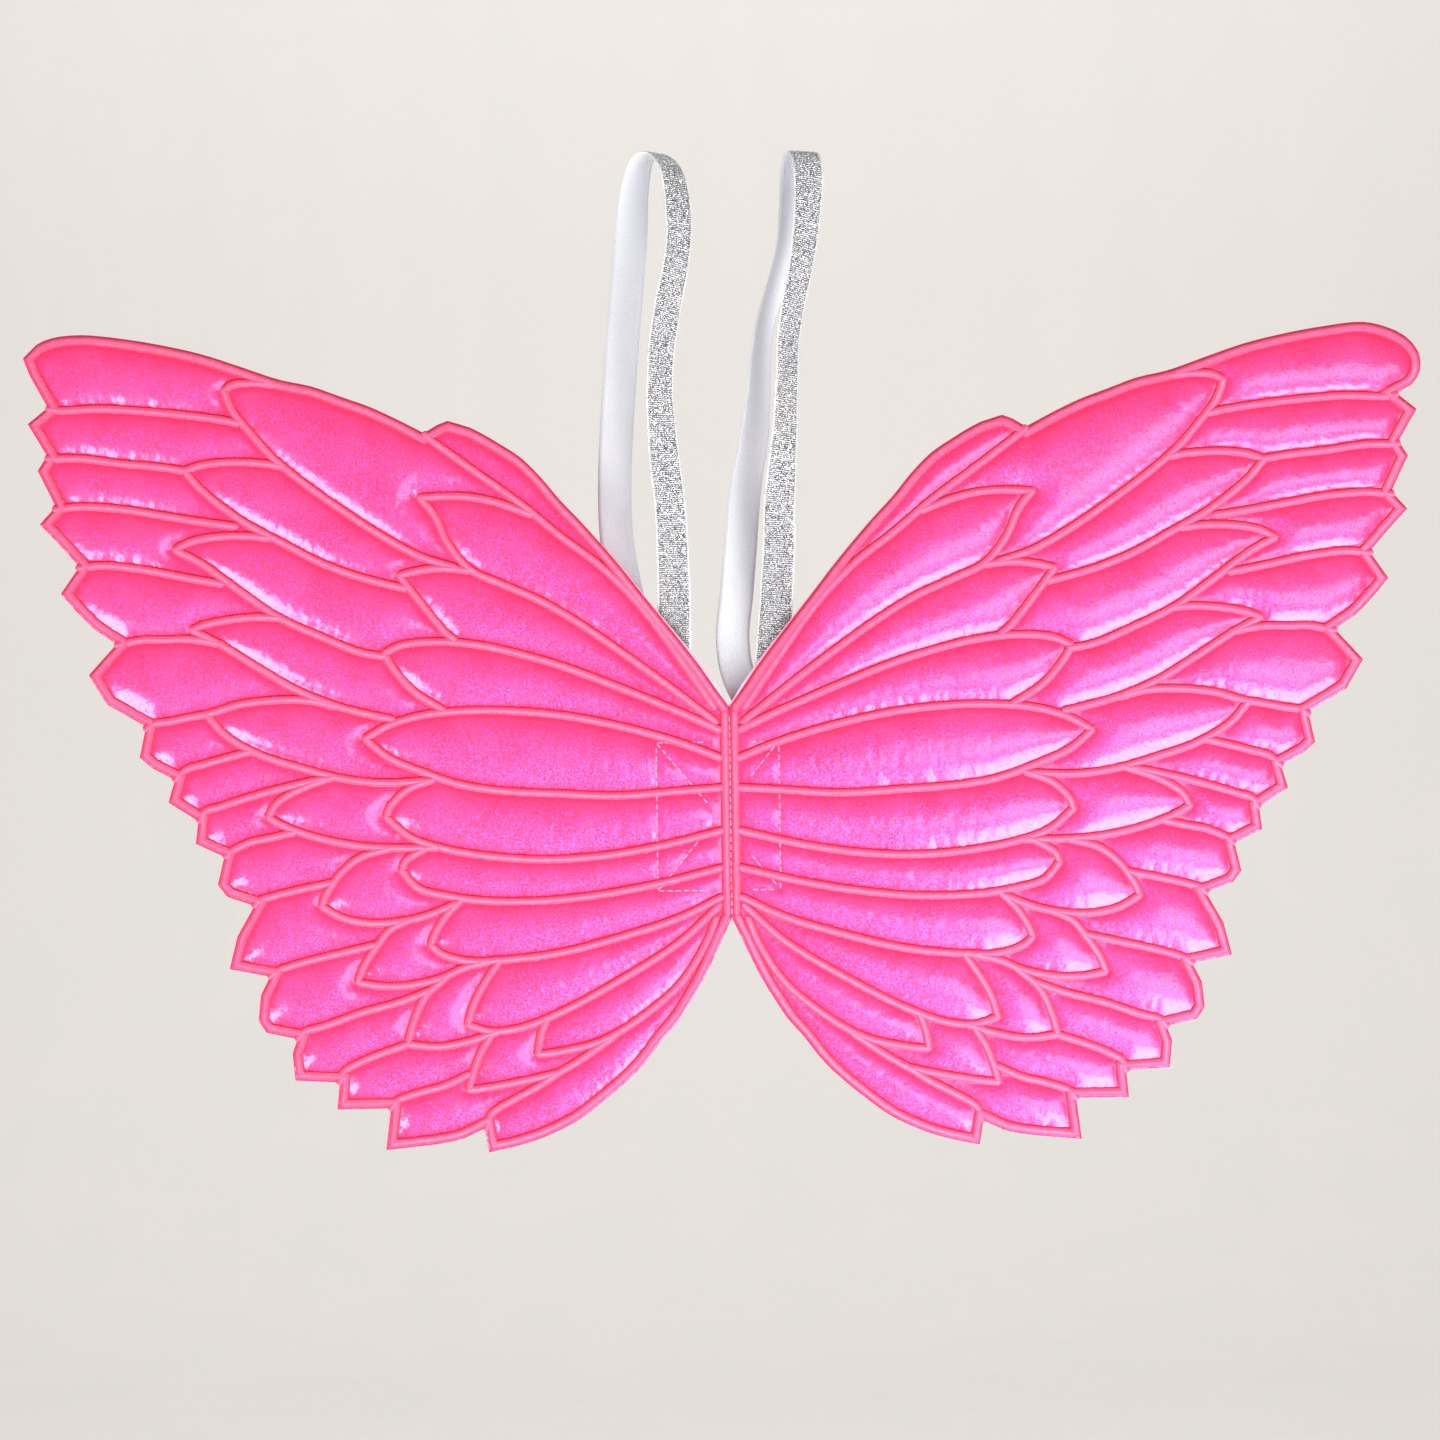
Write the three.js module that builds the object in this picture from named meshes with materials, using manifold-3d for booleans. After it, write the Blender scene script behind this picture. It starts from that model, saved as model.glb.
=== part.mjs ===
// Fairy wings: two padded, feather-quilted wings sewn to a back patch with two elastic shoulder loops.
// Millimetres. +Z is up, +X is to the right seen from the front, and the glitter side faces -Y.
// The origin lies on the back of the patch, on the spine. Every wing point is (distance from spine, height).
import * as THREE from "three";
import Module from "manifold-3d";

const wasm = await Module();
wasm.setup();

// Layers through the thickness, as y of the back face and y of the front face.
const PATCH = [0, -2];
const LINING = [-2, -2.5];
const FOAM = [-2.5, -3];
const FILM = [-3, -3.5];
const SATIN = [-3.5, -4.5];
const THREAD_BACK = [-0.1, -0.4];
const THREAD_FRONT = [-3.5, -3.9];
const PAD_FRONT = -6.5;

// The spine strip and where each wing starts beside it, as distances from the spine.
const SPINE_HALF = 3.65;
const SPINE_HEM = 0.6;
const RIDGE_INNER = 0.45;
const ROW_HALF = 0.2;
const PATCH_MIDDLE_HALF = 4.9;
const WING_EDGE = 5.6;
const PAD_EDGE = 7.75;

// Satin stitching and the padded cells between it.
const SATIN_HALF = 1.75;
const SATIN_TOP_HALF = 1.3;
const CELL_GAP = 0.35;
const CELL_SLOPE = 1.6;
const HEM = 0.5;
const HEM_TOP = 0.9;
const RIM_WIDTH = 3.5;

// Patch, its box seam and the elastic.
const PATCH_X = [-31, 22.2];
const PATCH_Z = [-31, 31];
const BOX_X = [-27.6, 18.4];
const BOX_Z = [-28, 27.5];
const THREAD_HALF = 0.4;
const BED_GAP = 0.3;
const STRAP_WIDTH = 12.7;
const STRAP_THICK = 0.8;
const TAIL_Y = -1.5;
const RUN_Y = 0.75;
const TAIL_TOP = 31.5;
const UPPER_TAIL_LOW = 8;
const LOWER_TAIL_HIGH = -6;
const CHANNEL_GAP = 0.3;
const CHANNEL_BACK = -1;
const STRAP_X = { left: [-20.8, -22.5], right: [14.8, 12.8] };

const INF = 400;
const LONG_STRETCH = 17;

// Outline of one wing from the top of the spine round the feather tips to its foot.
const OUTLINE = [
  [0, 40.5], [5, 47.5], [18, 65.5], [33, 84.5], [55, 111], [77, 135], [92, 144.5], [104, 149], [113, 144.5],
  [133, 154.5], [155, 162.5], [166.5, 165], [196, 175], [211, 178.5], [225.5, 181], [240.5, 182.5], [251, 181.5],
  [257, 179], [262, 174], [259.5, 167.5],
  [253, 155.5], [260.5, 149.5],
  [253.5, 137.5], [257, 132],
  [250.5, 118.5], [256.5, 112], [249, 104],
  [242, 96], [249, 86], [243, 79], [236, 72],
  [228.5, 67], [239, 55.5], [232.5, 44.5],
  [218, 36], [220.5, 24.5], [216, 20.5],
  [207.5, 16], [210, 7.5],
  [199, 0.5], [200, -8],
  [189.5, -13], [192, -23.5], [188.5, -28],
  [178.5, -31.5], [185, -43], [188, -55],
  [173, -58], [176.5, -65], [177.5, -74.5], [174.5, -79],
  [163, -81.5], [165, -87], [164, -97],
  [147.5, -98], [148.5, -108],
  [128.5, -108], [130.5, -123.5], [110.5, -121.5], [101, -119.5],
  [93.5, -116], [92, -125], [71, -119.5], [58.5, -113.5], [40, -99], [26.5, -83.5], [15.5, -69], [7.5, -54.5],
  [4, -47], [0, -38.5],
];

// The right wing's top feather is trimmed rounder than the left one's, between these two outline corners.
const TRIM_FROM = [240.5, 182.5];
const TRIM_TO = [253, 155.5];
const RIGHT_TRIM = [[249.5, 180.5], [256.5, 177], [261.5, 171], [262, 164], [258.5, 158.5]];

// Seams between the feathers of one wing, each listed from the feather's tip towards its root.
const OUTER_FEATHERS = [
  [[253, 155], [233.5, 155], [203.5, 152.5], [182, 149]],
  [[253.5, 136.5], [241, 136.5], [226, 134.5], [202.5, 131.5]],
  [[251, 117.5], [242, 118.5], [211.5, 115], [183.5, 110.5]],
  [[242.5, 95.5], [234, 96.5], [219.5, 95], [189, 89]],
  [[228.5, 66.5], [212, 68.5], [189, 66.5]],
  [[217.5, 36], [209, 38], [195.5, 40.5]],
  [[207, 17.5], [198, 21], [178.5, 26.5]],
  [[198, 2], [190.5, 6], [175.5, 10.5], [148, 16.5]],
  [[188.5, -12], [179.5, -7.5], [163, -4]],
  [[178, -30.5], [172, -28], [149, -23]],
  [[173, -57.5], [161.5, -53], [133, -46.5]],
  [[162.5, -80], [152.5, -76.5], [124.5, -68], [112, -63.5]],
  [[147, -95.5], [140, -90.5], [122, -84]],
  [[127.5, -106.5], [117.5, -102], [99, -95.5]],
  [[92.5, -113], [83, -105.5], [66.5, -96], [57, -90.5], [44.5, -82]],
];
const MIDDLE_FEATHERS = [
  [[187.5, 161.5], [177.5, 164], [162.5, 162]],
  [[187.5, 161.5], [177.5, 145], [159.5, 127.5], [129.5, 106.5], [101.5, 94]],
  [[202.5, 131.5], [187, 134.5], [165, 132.5]],
  [[202.5, 131.5], [182, 113], [152, 96.5], [120.5, 86.5]],
  [[206.5, 102], [193, 106.5], [171, 106]],
  [[206.5, 102], [182, 86], [152.5, 69], [127.5, 61]],
  [[200.5, 72], [188, 75.5], [166.5, 76]],
  [[200.5, 72], [175, 57], [145.5, 42.5], [125.5, 37.5]],
  [[195.5, 40.5], [183, 44], [168, 45.5], [147, 42.5]],
  [[195.5, 40.5], [175.5, 25], [146, 16], [113, 14.5]],
  [[173, 1.5], [161, 12], [148, 16.5]],
  [[173, 1.5], [153.5, -6.5], [138.5, -9.5], [109, -10.5]],
  [[153.5, -32], [145.5, -19], [127, -10.5]],
  [[153.5, -32], [139, -38], [116.5, -36.5], [101.5, -31]],
  [[140.5, -60.5], [133, -47], [119.5, -37]],
  [[140.5, -60.5], [122.5, -62], [100, -55.5], [88.5, -53]],
  [[122, -84], [115, -66], [107, -59]],
  [[122, -84], [110, -85], [87.5, -79.5]],
  [[99.5, -101.5], [95, -88], [90.5, -80.5]],
  [[99.5, -101.5], [80, -98.5], [66, -95.5]],
];
const INNER_FEATHERS = [
  [[113, 144], [92, 128.5], [62.5, 105.5], [33, 79], [5.5, 40.5]],
  [[115, 120.5], [96, 120.5], [73, 113.5]],
  [[115, 120.5], [104.5, 103], [96.5, 93.5], [70.5, 81.5], [40.5, 62], [5, 35]],
  [[123, 91.5], [107.5, 94], [96.5, 93]],
  [[123, 91.5], [106, 70], [102, 66.5]],
  [[129, 62.5], [108, 66.5], [78, 61.5], [41, 48.5], [3.5, 32]],
  [[129, 62.5], [118, 48], [106.5, 40.5]],
  [[136.5, 30.5], [115.5, 39], [86, 40.5], [41, 34], [3, 21.5]],
  [[136.5, 30.5], [118, 19], [101, 13], [63.5, 9], [19, 9.5], [3, 10.5]],
  [[129, 1], [120.5, 11.5], [111, 15]],
  [[129, 1], [109, -10.5], [71.5, -15.5], [26.5, -11], [3, -5.5]],
  [[123.5, -19], [118.5, -13], [112.5, -10]],
  [[123.5, -19], [107, -28.5], [71.5, -31], [26.5, -25], [3.5, -19.5]],
  [[113, -47], [107, -36], [101.5, -30.5]],
  [[113, -47], [100, -53], [64.5, -50.5], [19.5, -38], [3.5, -30.5]],
  [[99.5, -77], [93, -61.5], [87.5, -53.5]],
  [[99.5, -77], [80, -78.5], [42, -61], [4.5, -33.5]],
  [[73.5, -88.5], [70, -75.5]],
  [[73.5, -88.5], [50, -84], [19.5, -62.5], [6, -38.5]],
];
const SEAMS = [...OUTER_FEATHERS, ...MIDDLE_FEATHERS, ...INNER_FEATHERS];

// Shoulder loops, from the top of the patch up the glitter leg, over the fold and down the plain leg.
// Each station is x, y, z and the angle in degrees that the band is turned away from the wearer's back.
const LEFT_LOOP = [
  [-20.8, -1.4, 33.5, 0], [-20.5, -1.2, 55, 0], [-20.2, -0.8, 70, 2], [-20.1, -0.3, 83.5, 12], [-21.1, 0, 115.7, 22],
  [-22.8, 0.4, 132.3, 24], [-24.5, 1.4, 161.5, 38], [-22.3, 2.2, 184.4, 36], [-16.7, 4, 215, 40], [-16.5, 5, 228, 38],
  [-17.8, 7, 239, 42], [-20.5, 9.5, 246.5, 47], [-24.5, 12.8, 250.5, 50], [-29, 16.6, 249.5, 48], [-32, 19.2, 242, 38],
  [-34.8, 20, 215, 8], [-37.7, 19.5, 184.5, 2], [-40.8, 18, 146.3, 0], [-41.8, 16, 124, 0], [-41.2, 12.5, 104, 0],
  [-37, 8.4, 80, 0], [-31, 4.6, 58, 0], [-25, 1.8, 42, 0], [-22.5, RUN_Y, 33.5, 0],
];
const RIGHT_LOOP = [
  [14.8, -1.4, 33.5, 0], [15.8, -1.2, 52, 0], [17.6, -0.5, 72, 2], [19.5, 0, 99, 12], [19.9, 0.5, 115, 18],
  [22.2, 1.4, 141, 38], [23.3, 2.2, 161, 46], [24.9, 3.2, 184, 46], [30.8, 4.8, 215, 38], [32.8, 6.6, 236, 30],
  [32.4, 9, 246, 25], [31.2, 12.4, 250.5, 22], [29.6, 16, 249.5, 24], [28, 18.8, 242, 30],
  [25, 19.5, 215, 48], [15.7, 19, 184, 52], [13.4, 18.5, 161, 42], [11.5, 17.5, 144, 28], [8, 16, 124, 20],
  [5.3, 12.6, 99, 10], [3.7, 9.8, 83, 4], [1.9, 7, 67, 0], [3.4, 4.4, 54, 0], [7.6, 2.4, 44, 0],
  [11.6, 1.1, 37.5, 0], [12.8, RUN_Y, 33.5, 0],
];
// The elastic below the fold: y and z from inside the patch, round its lower edge and up its back.
const LOWER_RUN = [
  [TAIL_Y, LOWER_TAIL_HIGH], [TAIL_Y, -30.5], [-1.3, -32.4], [-0.38, -33.3], [0.54, -32.4], [RUN_Y, -30.5],
  [RUN_Y, TAIL_TOP],
];

const COLOURS = {
  film: [0xff4f96, 0.35, 0.1],
  foam: [0xf6f0ea, 0.95, 0],
  lining: [0xf07aa8, 0.9, 0],
  satin: [0xff5c92, 0.55, 0],
  thread: [0xf24c84, 0.7, 0],
  patch: [0xf4f1ee, 0.95, 0],
  strap: [0xcfcfd4, 0.4, 0.3],
};

function signedArea(points) {
  return THREE.ShapeUtils.area(points.map(([x, z]) => new THREE.Vector2(x, z)));
}

// A closed solid between a back and a front polygon with matching corners.
function loft(backPoints, yBack, frontPoints, yFront) {
  const flip = signedArea(backPoints) < 0;
  const back = flip ? backPoints.toReversed() : backPoints;
  const front = flip ? frontPoints.toReversed() : frontPoints;
  const n = back.length;
  const vertices = [
    ...back.flatMap(([x, z]) => [x, yBack, z]),
    ...front.flatMap(([x, z]) => [x, yFront, z]),
  ];
  const faces = [
    ...capFaces(back).map(([a, b, c]) => [a, c, b]),
    ...capFaces(front).map((face) => face.map((i) => i + n)),
  ];
  for (let i = 0; i < n; i++) {
    const j = (i + 1) % n;
    faces.push([i, j, n + j], [i, n + j, n + i]);
  }
  return solid(vertices, faces);
}

function capFaces(points) {
  const contour = points.map(([x, z]) => new THREE.Vector2(x, z));
  return THREE.ShapeUtils.triangulateShape(contour, []).map((face) => {
    const turned = signedArea(face.map((i) => points[i])) < 0;
    return turned ? [face[0], face[2], face[1]] : face;
  });
}

function solid(vertices, faces) {
  const vertProperties = new Float32Array(vertices);
  const triVerts = new Uint32Array(faces.flat());
  return new wasm.Manifold(new wasm.Mesh({ numProp: 3, vertProperties, triVerts }));
}

function slab(points, [yBack, yFront]) {
  return loft(points, yBack, points, yFront);
}

function rectangle([x0, x1], [z0, z1]) {
  return [[x0, z0], [x1, z0], [x1, z1], [x0, z1]];
}

// Moves an open path sideways by a distance, with mitred corners; positive is to the left of travel.
function offsetPath(path, distance) {
  const normals = path.slice(1).map(([x, z], i) => {
    const dx = x - path[i][0];
    const dz = z - path[i][1];
    const length = Math.hypot(dx, dz);
    return [-dz / length, dx / length];
  });
  return path.map(([x, z], i) => {
    const a = normals[Math.max(i - 1, 0)];
    const b = normals[Math.min(i, normals.length - 1)];
    const reach = distance / (1 + a[0] * b[0] + a[1] * b[1]);
    return [x + (a[0] + b[0]) * reach, z + (a[1] + b[1]) * reach];
  });
}

function ribbon(path, half) {
  return [...offsetPath(path, half), ...offsetPath(path, -half).toReversed()];
}

// A curve through the points, with one more point halfway along each long stretch.
function smooth(points) {
  const curve = new THREE.CatmullRomCurve3(points.map(([x, z]) => new THREE.Vector3(x, 0, z)));
  const halves = curve.getPoints((points.length - 1) * 2);
  const kept = halves.filter((_, i) => i % 2 === 0 || halves[i - 1].distanceTo(halves[i + 1]) > LONG_STRETCH);
  return kept.map((p) => [p.x, p.z]);
}

// Lengthens both ends of a path so that seams meeting at a tip close its corner.
function extended(path, by) {
  const beyond = ([ax, az], [bx, bz]) => {
    const length = Math.hypot(bx - ax, bz - az);
    return [bx + ((bx - ax) * by) / length, bz + ((bz - az) * by) / length];
  };
  const first = beyond(path[1], path[0]);
  const last = beyond(path.at(-2), path.at(-1));
  return [first, ...path.slice(1, -1), last];
}

function union(solids) {
  return solids.reduce((whole, piece) => whole.add(piece));
}

function mirrored(points, side) {
  return points.map(([distance, height]) => [side * distance, height]);
}

// Keeps what lies farther from the spine than a distance.
function beyondSpine(shape, side, distance) {
  const box = rectangle([side * distance, side * INF], [-INF, INF]);
  return shape.intersect(slab(box, [INF, -INF]));
}

function wingOutline(side) {
  if (side < 0) return OUTLINE;
  const corner = ([x, z]) => OUTLINE.findIndex((p) => p[0] === x && p[1] === z);
  return [...OUTLINE.slice(0, corner(TRIM_FROM) + 1), ...RIGHT_TRIM, ...OUTLINE.slice(corner(TRIM_TO))];
}

// The quilted film: a thin sheet with a raised pad in every cell between the seams.
function filmCover(side) {
  const outline = mirrored(wingOutline(side), side);
  const seams = SEAMS.map((seam) => extended(smooth(mirrored(seam, side)), SATIN_HALF));
  const inner = HEM + RIM_WIDTH + CELL_GAP;
  const padBase = offsetPath(outline, -side * inner);
  const padTop = offsetPath(outline, -side * (inner + CELL_SLOPE));
  const rise = FILM[1] - PAD_FRONT;
  const grooveTop = PAD_FRONT - rise;
  const base = SATIN_HALF + CELL_GAP;
  const top = base + 2 * CELL_SLOPE;
  const grooves = union(
    seams.map((seam) => loft(ribbon(seam, base), FILM[1], ribbon(seam, top), grooveTop)),
  );
  const pads = loft(padBase, (FILM[0] + FILM[1]) / 2, padTop, PAD_FRONT).subtract(grooves);
  const sheet = beyondSpine(slab(outline, FILM), side, WING_EDGE);
  return sheet.add(beyondSpine(pads, side, PAD_EDGE));
}

// The satin stitching: the rim along the cut edge and one rib on every seam.
function satinNet(side) {
  const outline = mirrored(wingOutline(side), side);
  const band = (from, to) => [
    ...offsetPath(outline, -side * from),
    ...offsetPath(outline, -side * to).toReversed(),
  ];
  const shrink = SATIN_HALF - SATIN_TOP_HALF;
  const rim = loft(
    band(HEM, HEM + RIM_WIDTH), SATIN[0],
    band(HEM_TOP, HEM + RIM_WIDTH - shrink), SATIN[1],
  );
  const ribs = SEAMS.map((seam) => {
    const path = smooth(mirrored(seam, side));
    return loft(ribbon(path, SATIN_HALF), SATIN[0], ribbon(path, SATIN_TOP_HALF), SATIN[1]);
  });
  return beyondSpine(union([rim, ...ribs]), side, PAD_EDGE);
}

// Room for a strap end between the patch and the lining.
function channel(x, [z0, z1]) {
  const half = STRAP_WIDTH / 2 + CHANNEL_GAP;
  return slab(rectangle([x - half, x + half], [z0, z1]), [CHANNEL_BACK, PATCH[1] - 1]);
}

function patchFlap(side, [upperX, lowerX]) {
  const edge = side < 0 ? PATCH_X[0] : PATCH_X[1];
  const flap = slab(rectangle([side * WING_EDGE, edge], PATCH_Z), PATCH);
  const upper = channel(upperX, [UPPER_TAIL_LOW - 1, PATCH_Z[1] + 1]);
  const lower = channel(lowerX, [PATCH_Z[0] - 1, LOWER_TAIL_HIGH + 1]);
  return flap.subtract(upper).subtract(lower).subtract(boxSeamBed());
}

// The box seam's lines: its foot, top, left side and right side, then its two diagonals.
function boxSeamLines() {
  const [x0, x1] = BOX_X;
  const [z0, z1] = BOX_Z;
  return {
    foot: [[x0, z0], [x1, z0]],
    top: [[x0, z1], [x1, z1]],
    left: [[x0, z0 - THREAD_HALF], [x0, z1 + THREAD_HALF]],
    right: [[x1, z0 - THREAD_HALF], [x1, z1 + THREAD_HALF]],
    rising: [[x0, z0], [x1, z1]],
    falling: [[x0, z1], [x1, z0]],
  };
}

function threads(names) {
  const lines = boxSeamLines();
  return union(names.map((name) => slab(ribbon(lines[name], THREAD_HALF), THREAD_BACK)));
}

// The groove the box seam pulls into the patch, so its thread stays below the patch's face.
function boxSeamBed() {
  const half = THREAD_HALF + BED_GAP;
  const bed = [1, THREAD_BACK[1]];
  return union(Object.values(boxSeamLines()).map((line) => slab(ribbon(line, half), bed)));
}

function boxSeamFlap(side) {
  const outer = side < 0 ? "left" : "right";
  return beyondSpine(threads(["foot", "top", outer, "rising", "falling"]), side, WING_EDGE);
}

// The stations of a band with one more halfway between each two, on a smooth curve.
function finer(stations) {
  const curve = new THREE.CatmullRomCurve3(stations.map(([x, y, z]) => new THREE.Vector3(x, y, z)));
  const last = stations.length - 1;
  return stations.flatMap((station, i) => {
    if (i === last) return [station];
    const halfway = curve.getPoint((i + 0.5) / last);
    return [station, [...halfway.toArray(), (station[3] + stations[i + 1][3]) / 2]];
  });
}

// A flat band of elastic through stations of x, y, z and turn.
function band(stations) {
  const centres = stations.map(([x, y, z]) => new THREE.Vector3(x, y, z));
  const last = centres.length - 1;
  const corners = stations.flatMap(([, , , turn], i) => {
    const ahead = centres[Math.min(i + 1, last)];
    const behind = centres[Math.max(i - 1, 0)];
    const along = ahead.clone().sub(behind).normalize();
    const angle = THREE.MathUtils.degToRad(turn);
    const across = new THREE.Vector3(Math.cos(angle), Math.sin(angle), 0);
    across.addScaledVector(along, -across.dot(along)).normalize();
    const out = along.clone().cross(across).multiplyScalar(STRAP_THICK / 2);
    across.multiplyScalar(STRAP_WIDTH / 2);
    return [[-1, -1], [1, -1], [1, 1], [-1, 1]].map(([w, t]) =>
      centres[i].clone().addScaledVector(across, w).addScaledVector(out, t),
    );
  });
  const faces = [[0, 2, 1], [0, 3, 2]];
  for (let i = 0; i < last; i++) {
    for (let k = 0; k < 4; k++) {
      const a = 4 * i + k;
      const b = 4 * i + ((k + 1) % 4);
      if (k === 2) faces.push([a, b, a + 4], [b, b + 4, a + 4]);
      else faces.push([a, b, b + 4], [a, b + 4, a + 4]);
    }
  }
  const end = 4 * last;
  faces.push([end, end + 1, end + 2], [end, end + 2, end + 3]);
  return solid(corners.flatMap((p) => p.toArray()), faces);
}

function upperTail(x) {
  return band([[x, TAIL_Y, UPPER_TAIL_LOW, 0], [x, TAIL_Y, TAIL_TOP, 0]]);
}

function lowerRun(x) {
  return band(LOWER_RUN.map(([y, z]) => [x, y, z, 0]));
}

function spinePoints(half) {
  const slope = (OUTLINE[1][1] - OUTLINE[0][1]) / OUTLINE[1][0];
  const top = OUTLINE[0][1];
  const foot = OUTLINE.at(-1)[1];
  const footSlope = (foot - OUTLINE.at(-2)[1]) / OUTLINE.at(-2)[0];
  return [
    [-half, top + half * slope], [0, top], [half, top + half * slope],
    [half, foot - half * footSlope], [0, foot], [-half, foot - half * footSlope],
  ];
}

function spineRidge(side) {
  const [z0, z1] = [OUTLINE.at(-1)[1] + SPINE_HEM, OUTLINE[0][1] - SPINE_HEM];
  const shrink = SATIN_HALF - SATIN_TOP_HALF;
  const base = rectangle([side * RIDGE_INNER, side * SPINE_HALF], [z0, z1]);
  const top = rectangle([side * (RIDGE_INNER + shrink), side * (SPINE_HALF - shrink)], [z0, z1]);
  return loft(base, SATIN[0], top, SATIN[1]);
}

function spineStitchRow() {
  const [z0, z1] = [OUTLINE.at(-1)[1] + SPINE_HEM, OUTLINE[0][1] - SPINE_HEM];
  return slab(rectangle([-ROW_HALF, ROW_HALF], [z0, z1]), THREAD_FRONT);
}

function middleThread(shape) {
  const half = PATCH_MIDDLE_HALF;
  return shape.intersect(slab(rectangle([-half, half], [-INF, INF]), [INF, -INF]));
}

const group = new THREE.Group();
group.name = "fairy_wings";

function place(name, shape, look) {
  const [color, roughness, metalness] = COLOURS[look];
  const mesh = shape.getMesh();
  const geometry = new THREE.BufferGeometry();
  const points = Float32Array.from(mesh.vertProperties);
  geometry.setAttribute("position", new THREE.BufferAttribute(points, 3));
  geometry.setIndex(new THREE.BufferAttribute(Uint32Array.from(mesh.triVerts), 1));
  geometry.computeVertexNormals();
  const material = new THREE.MeshStandardMaterial({ color, roughness, metalness });
  const piece = new THREE.Mesh(geometry, material);
  piece.name = name;
  group.add(piece);
}

function placeSpine() {
  const strip = spinePoints(SPINE_HALF);
  const middle = [-PATCH_MIDDLE_HALF, PATCH_MIDDLE_HALF];
  place("spine_film", slab(strip, FILM), "film");
  place("spine_foam", slab(strip, FOAM), "foam");
  place("spine_lining", slab(strip, LINING), "lining");
  place("spine_satin_left", spineRidge(-1), "satin");
  place("spine_satin_right", spineRidge(1), "satin");
  place("spine_stitch_row", spineStitchRow(), "thread");
  place("patch_middle", slab(rectangle(middle, PATCH_Z), PATCH).subtract(boxSeamBed()), "patch");
  place("patch_thread_top", middleThread(threads(["top"])), "thread");
  place("patch_thread_foot", middleThread(threads(["foot"])), "thread");
  place("patch_thread_cross", middleThread(threads(["rising", "falling"])), "thread");
}

function placeWing(side, hand) {
  const outline = mirrored(wingOutline(side), side);
  const [upperX, lowerX] = STRAP_X[hand];
  place(`${hand}_film_cover`, filmCover(side), "film");
  place(`${hand}_foam_core`, beyondSpine(slab(outline, FOAM), side, WING_EDGE), "foam");
  place(`${hand}_lining`, beyondSpine(slab(outline, LINING), side, WING_EDGE), "lining");
  place(`${hand}_satin_seams`, satinNet(side), "satin");
  place(`${hand}_patch_flap`, patchFlap(side, STRAP_X[hand]), "patch");
  place(`${hand}_patch_thread`, boxSeamFlap(side), "thread");
  place(`${hand}_strap_upper_end`, upperTail(upperX), "strap");
  place(`${hand}_strap_lower_end`, lowerRun(lowerX), "strap");
}

placeSpine();
placeWing(-1, "left");
placeWing(1, "right");
place("left_strap_loop", band(finer(LEFT_LOOP)), "strap");
place("right_strap_loop", band(finer(RIGHT_LOOP)), "strap");

export default group;
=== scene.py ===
"""Fairy wings: glitter film quilted into feathers over thin padding, with a felt patch and two elastic loops.

Everything is built in millimetres in the part's own frame (+Z up, glitter side facing -Y), then turned
into metres.
Points of a wing are (distance from the spine, height), and each wing mirrors the other.
"""

import math

import bpy
import numpy as np
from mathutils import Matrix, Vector
from mathutils.bvhtree import BVHTree
from mathutils.geometry import delaunay_2d_cdt


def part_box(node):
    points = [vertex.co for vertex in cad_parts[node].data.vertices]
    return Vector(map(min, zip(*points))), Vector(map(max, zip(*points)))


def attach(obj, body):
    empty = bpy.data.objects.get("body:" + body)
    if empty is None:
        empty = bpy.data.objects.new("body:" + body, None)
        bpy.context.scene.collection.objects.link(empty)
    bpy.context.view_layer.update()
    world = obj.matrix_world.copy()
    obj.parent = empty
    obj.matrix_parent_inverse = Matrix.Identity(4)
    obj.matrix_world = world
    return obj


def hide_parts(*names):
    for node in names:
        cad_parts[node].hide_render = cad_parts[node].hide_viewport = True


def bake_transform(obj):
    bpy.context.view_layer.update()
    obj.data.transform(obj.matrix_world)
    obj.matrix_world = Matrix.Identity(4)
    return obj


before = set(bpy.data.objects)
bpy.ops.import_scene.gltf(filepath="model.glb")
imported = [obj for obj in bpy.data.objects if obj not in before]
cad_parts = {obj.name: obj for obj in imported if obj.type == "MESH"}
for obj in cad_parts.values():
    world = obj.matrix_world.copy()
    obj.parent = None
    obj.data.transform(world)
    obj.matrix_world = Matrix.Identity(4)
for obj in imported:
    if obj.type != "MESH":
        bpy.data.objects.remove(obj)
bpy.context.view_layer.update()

MM = 0.001
HANDS = {"left": -1, "right": 1}

# Layers, as y in millimetres, worked out from the CAD sheets.
LINING_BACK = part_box("left_lining")[1].y / MM
FOAM_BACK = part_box("left_foam_core")[1].y / MM
FILM_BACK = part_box("left_foam_core")[0].y / MM
FILM_FACE = FILM_BACK - 0.2
PAD_LIMIT = FILM_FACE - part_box("left_film_cover")[0].y / MM
PATCH_LOW, PATCH_HIGH = (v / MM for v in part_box("left_patch_flap"))
PATCH_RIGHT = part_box("right_patch_flap")[1].x / MM

# Satin stitching, and the same stitching seen from behind.
SATIN_HALF = 1.75
SATIN_RISE = 0.95
BOBBIN_HALF = 1.4
BOBBIN_RISE = -0.28
BOBBIN_FACE = LINING_BACK - 0.32
HEM = 0.5
RIM_WIDTH = 3.5

# The spine strip, the two ridges of stitching on it, and the stretch beside it in which a wing folds.
SPINE_HALF = 3.65
SPINE_REACH = 60.0
RIDGE_INNER = 0.35
FOLD_START, FOLD_END = 4.0, 6.8

# Padding between seams: how high it would stand in the middle of a wide cell, and how fast it gets there.
LOFT = 3.1
LOFT_REACH = 5.4
GRID_STEP = 0.5
GRID_LOW = (-3.0, -131.0)
GRID_SIZE = (272.0, 320.0)
GRID_ROUNDS = 700
DEEPEST = 1.6 * PAD_LIMIT

# The cloth simulation works on a model this much larger, and only a share of its small puckers is kept.
CLOTH_SCALE = 20.0
CLOTH_STEPS = 12
CLOTH_LIMIT = 0.5
CLOTH_SHARE = 0.45

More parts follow.
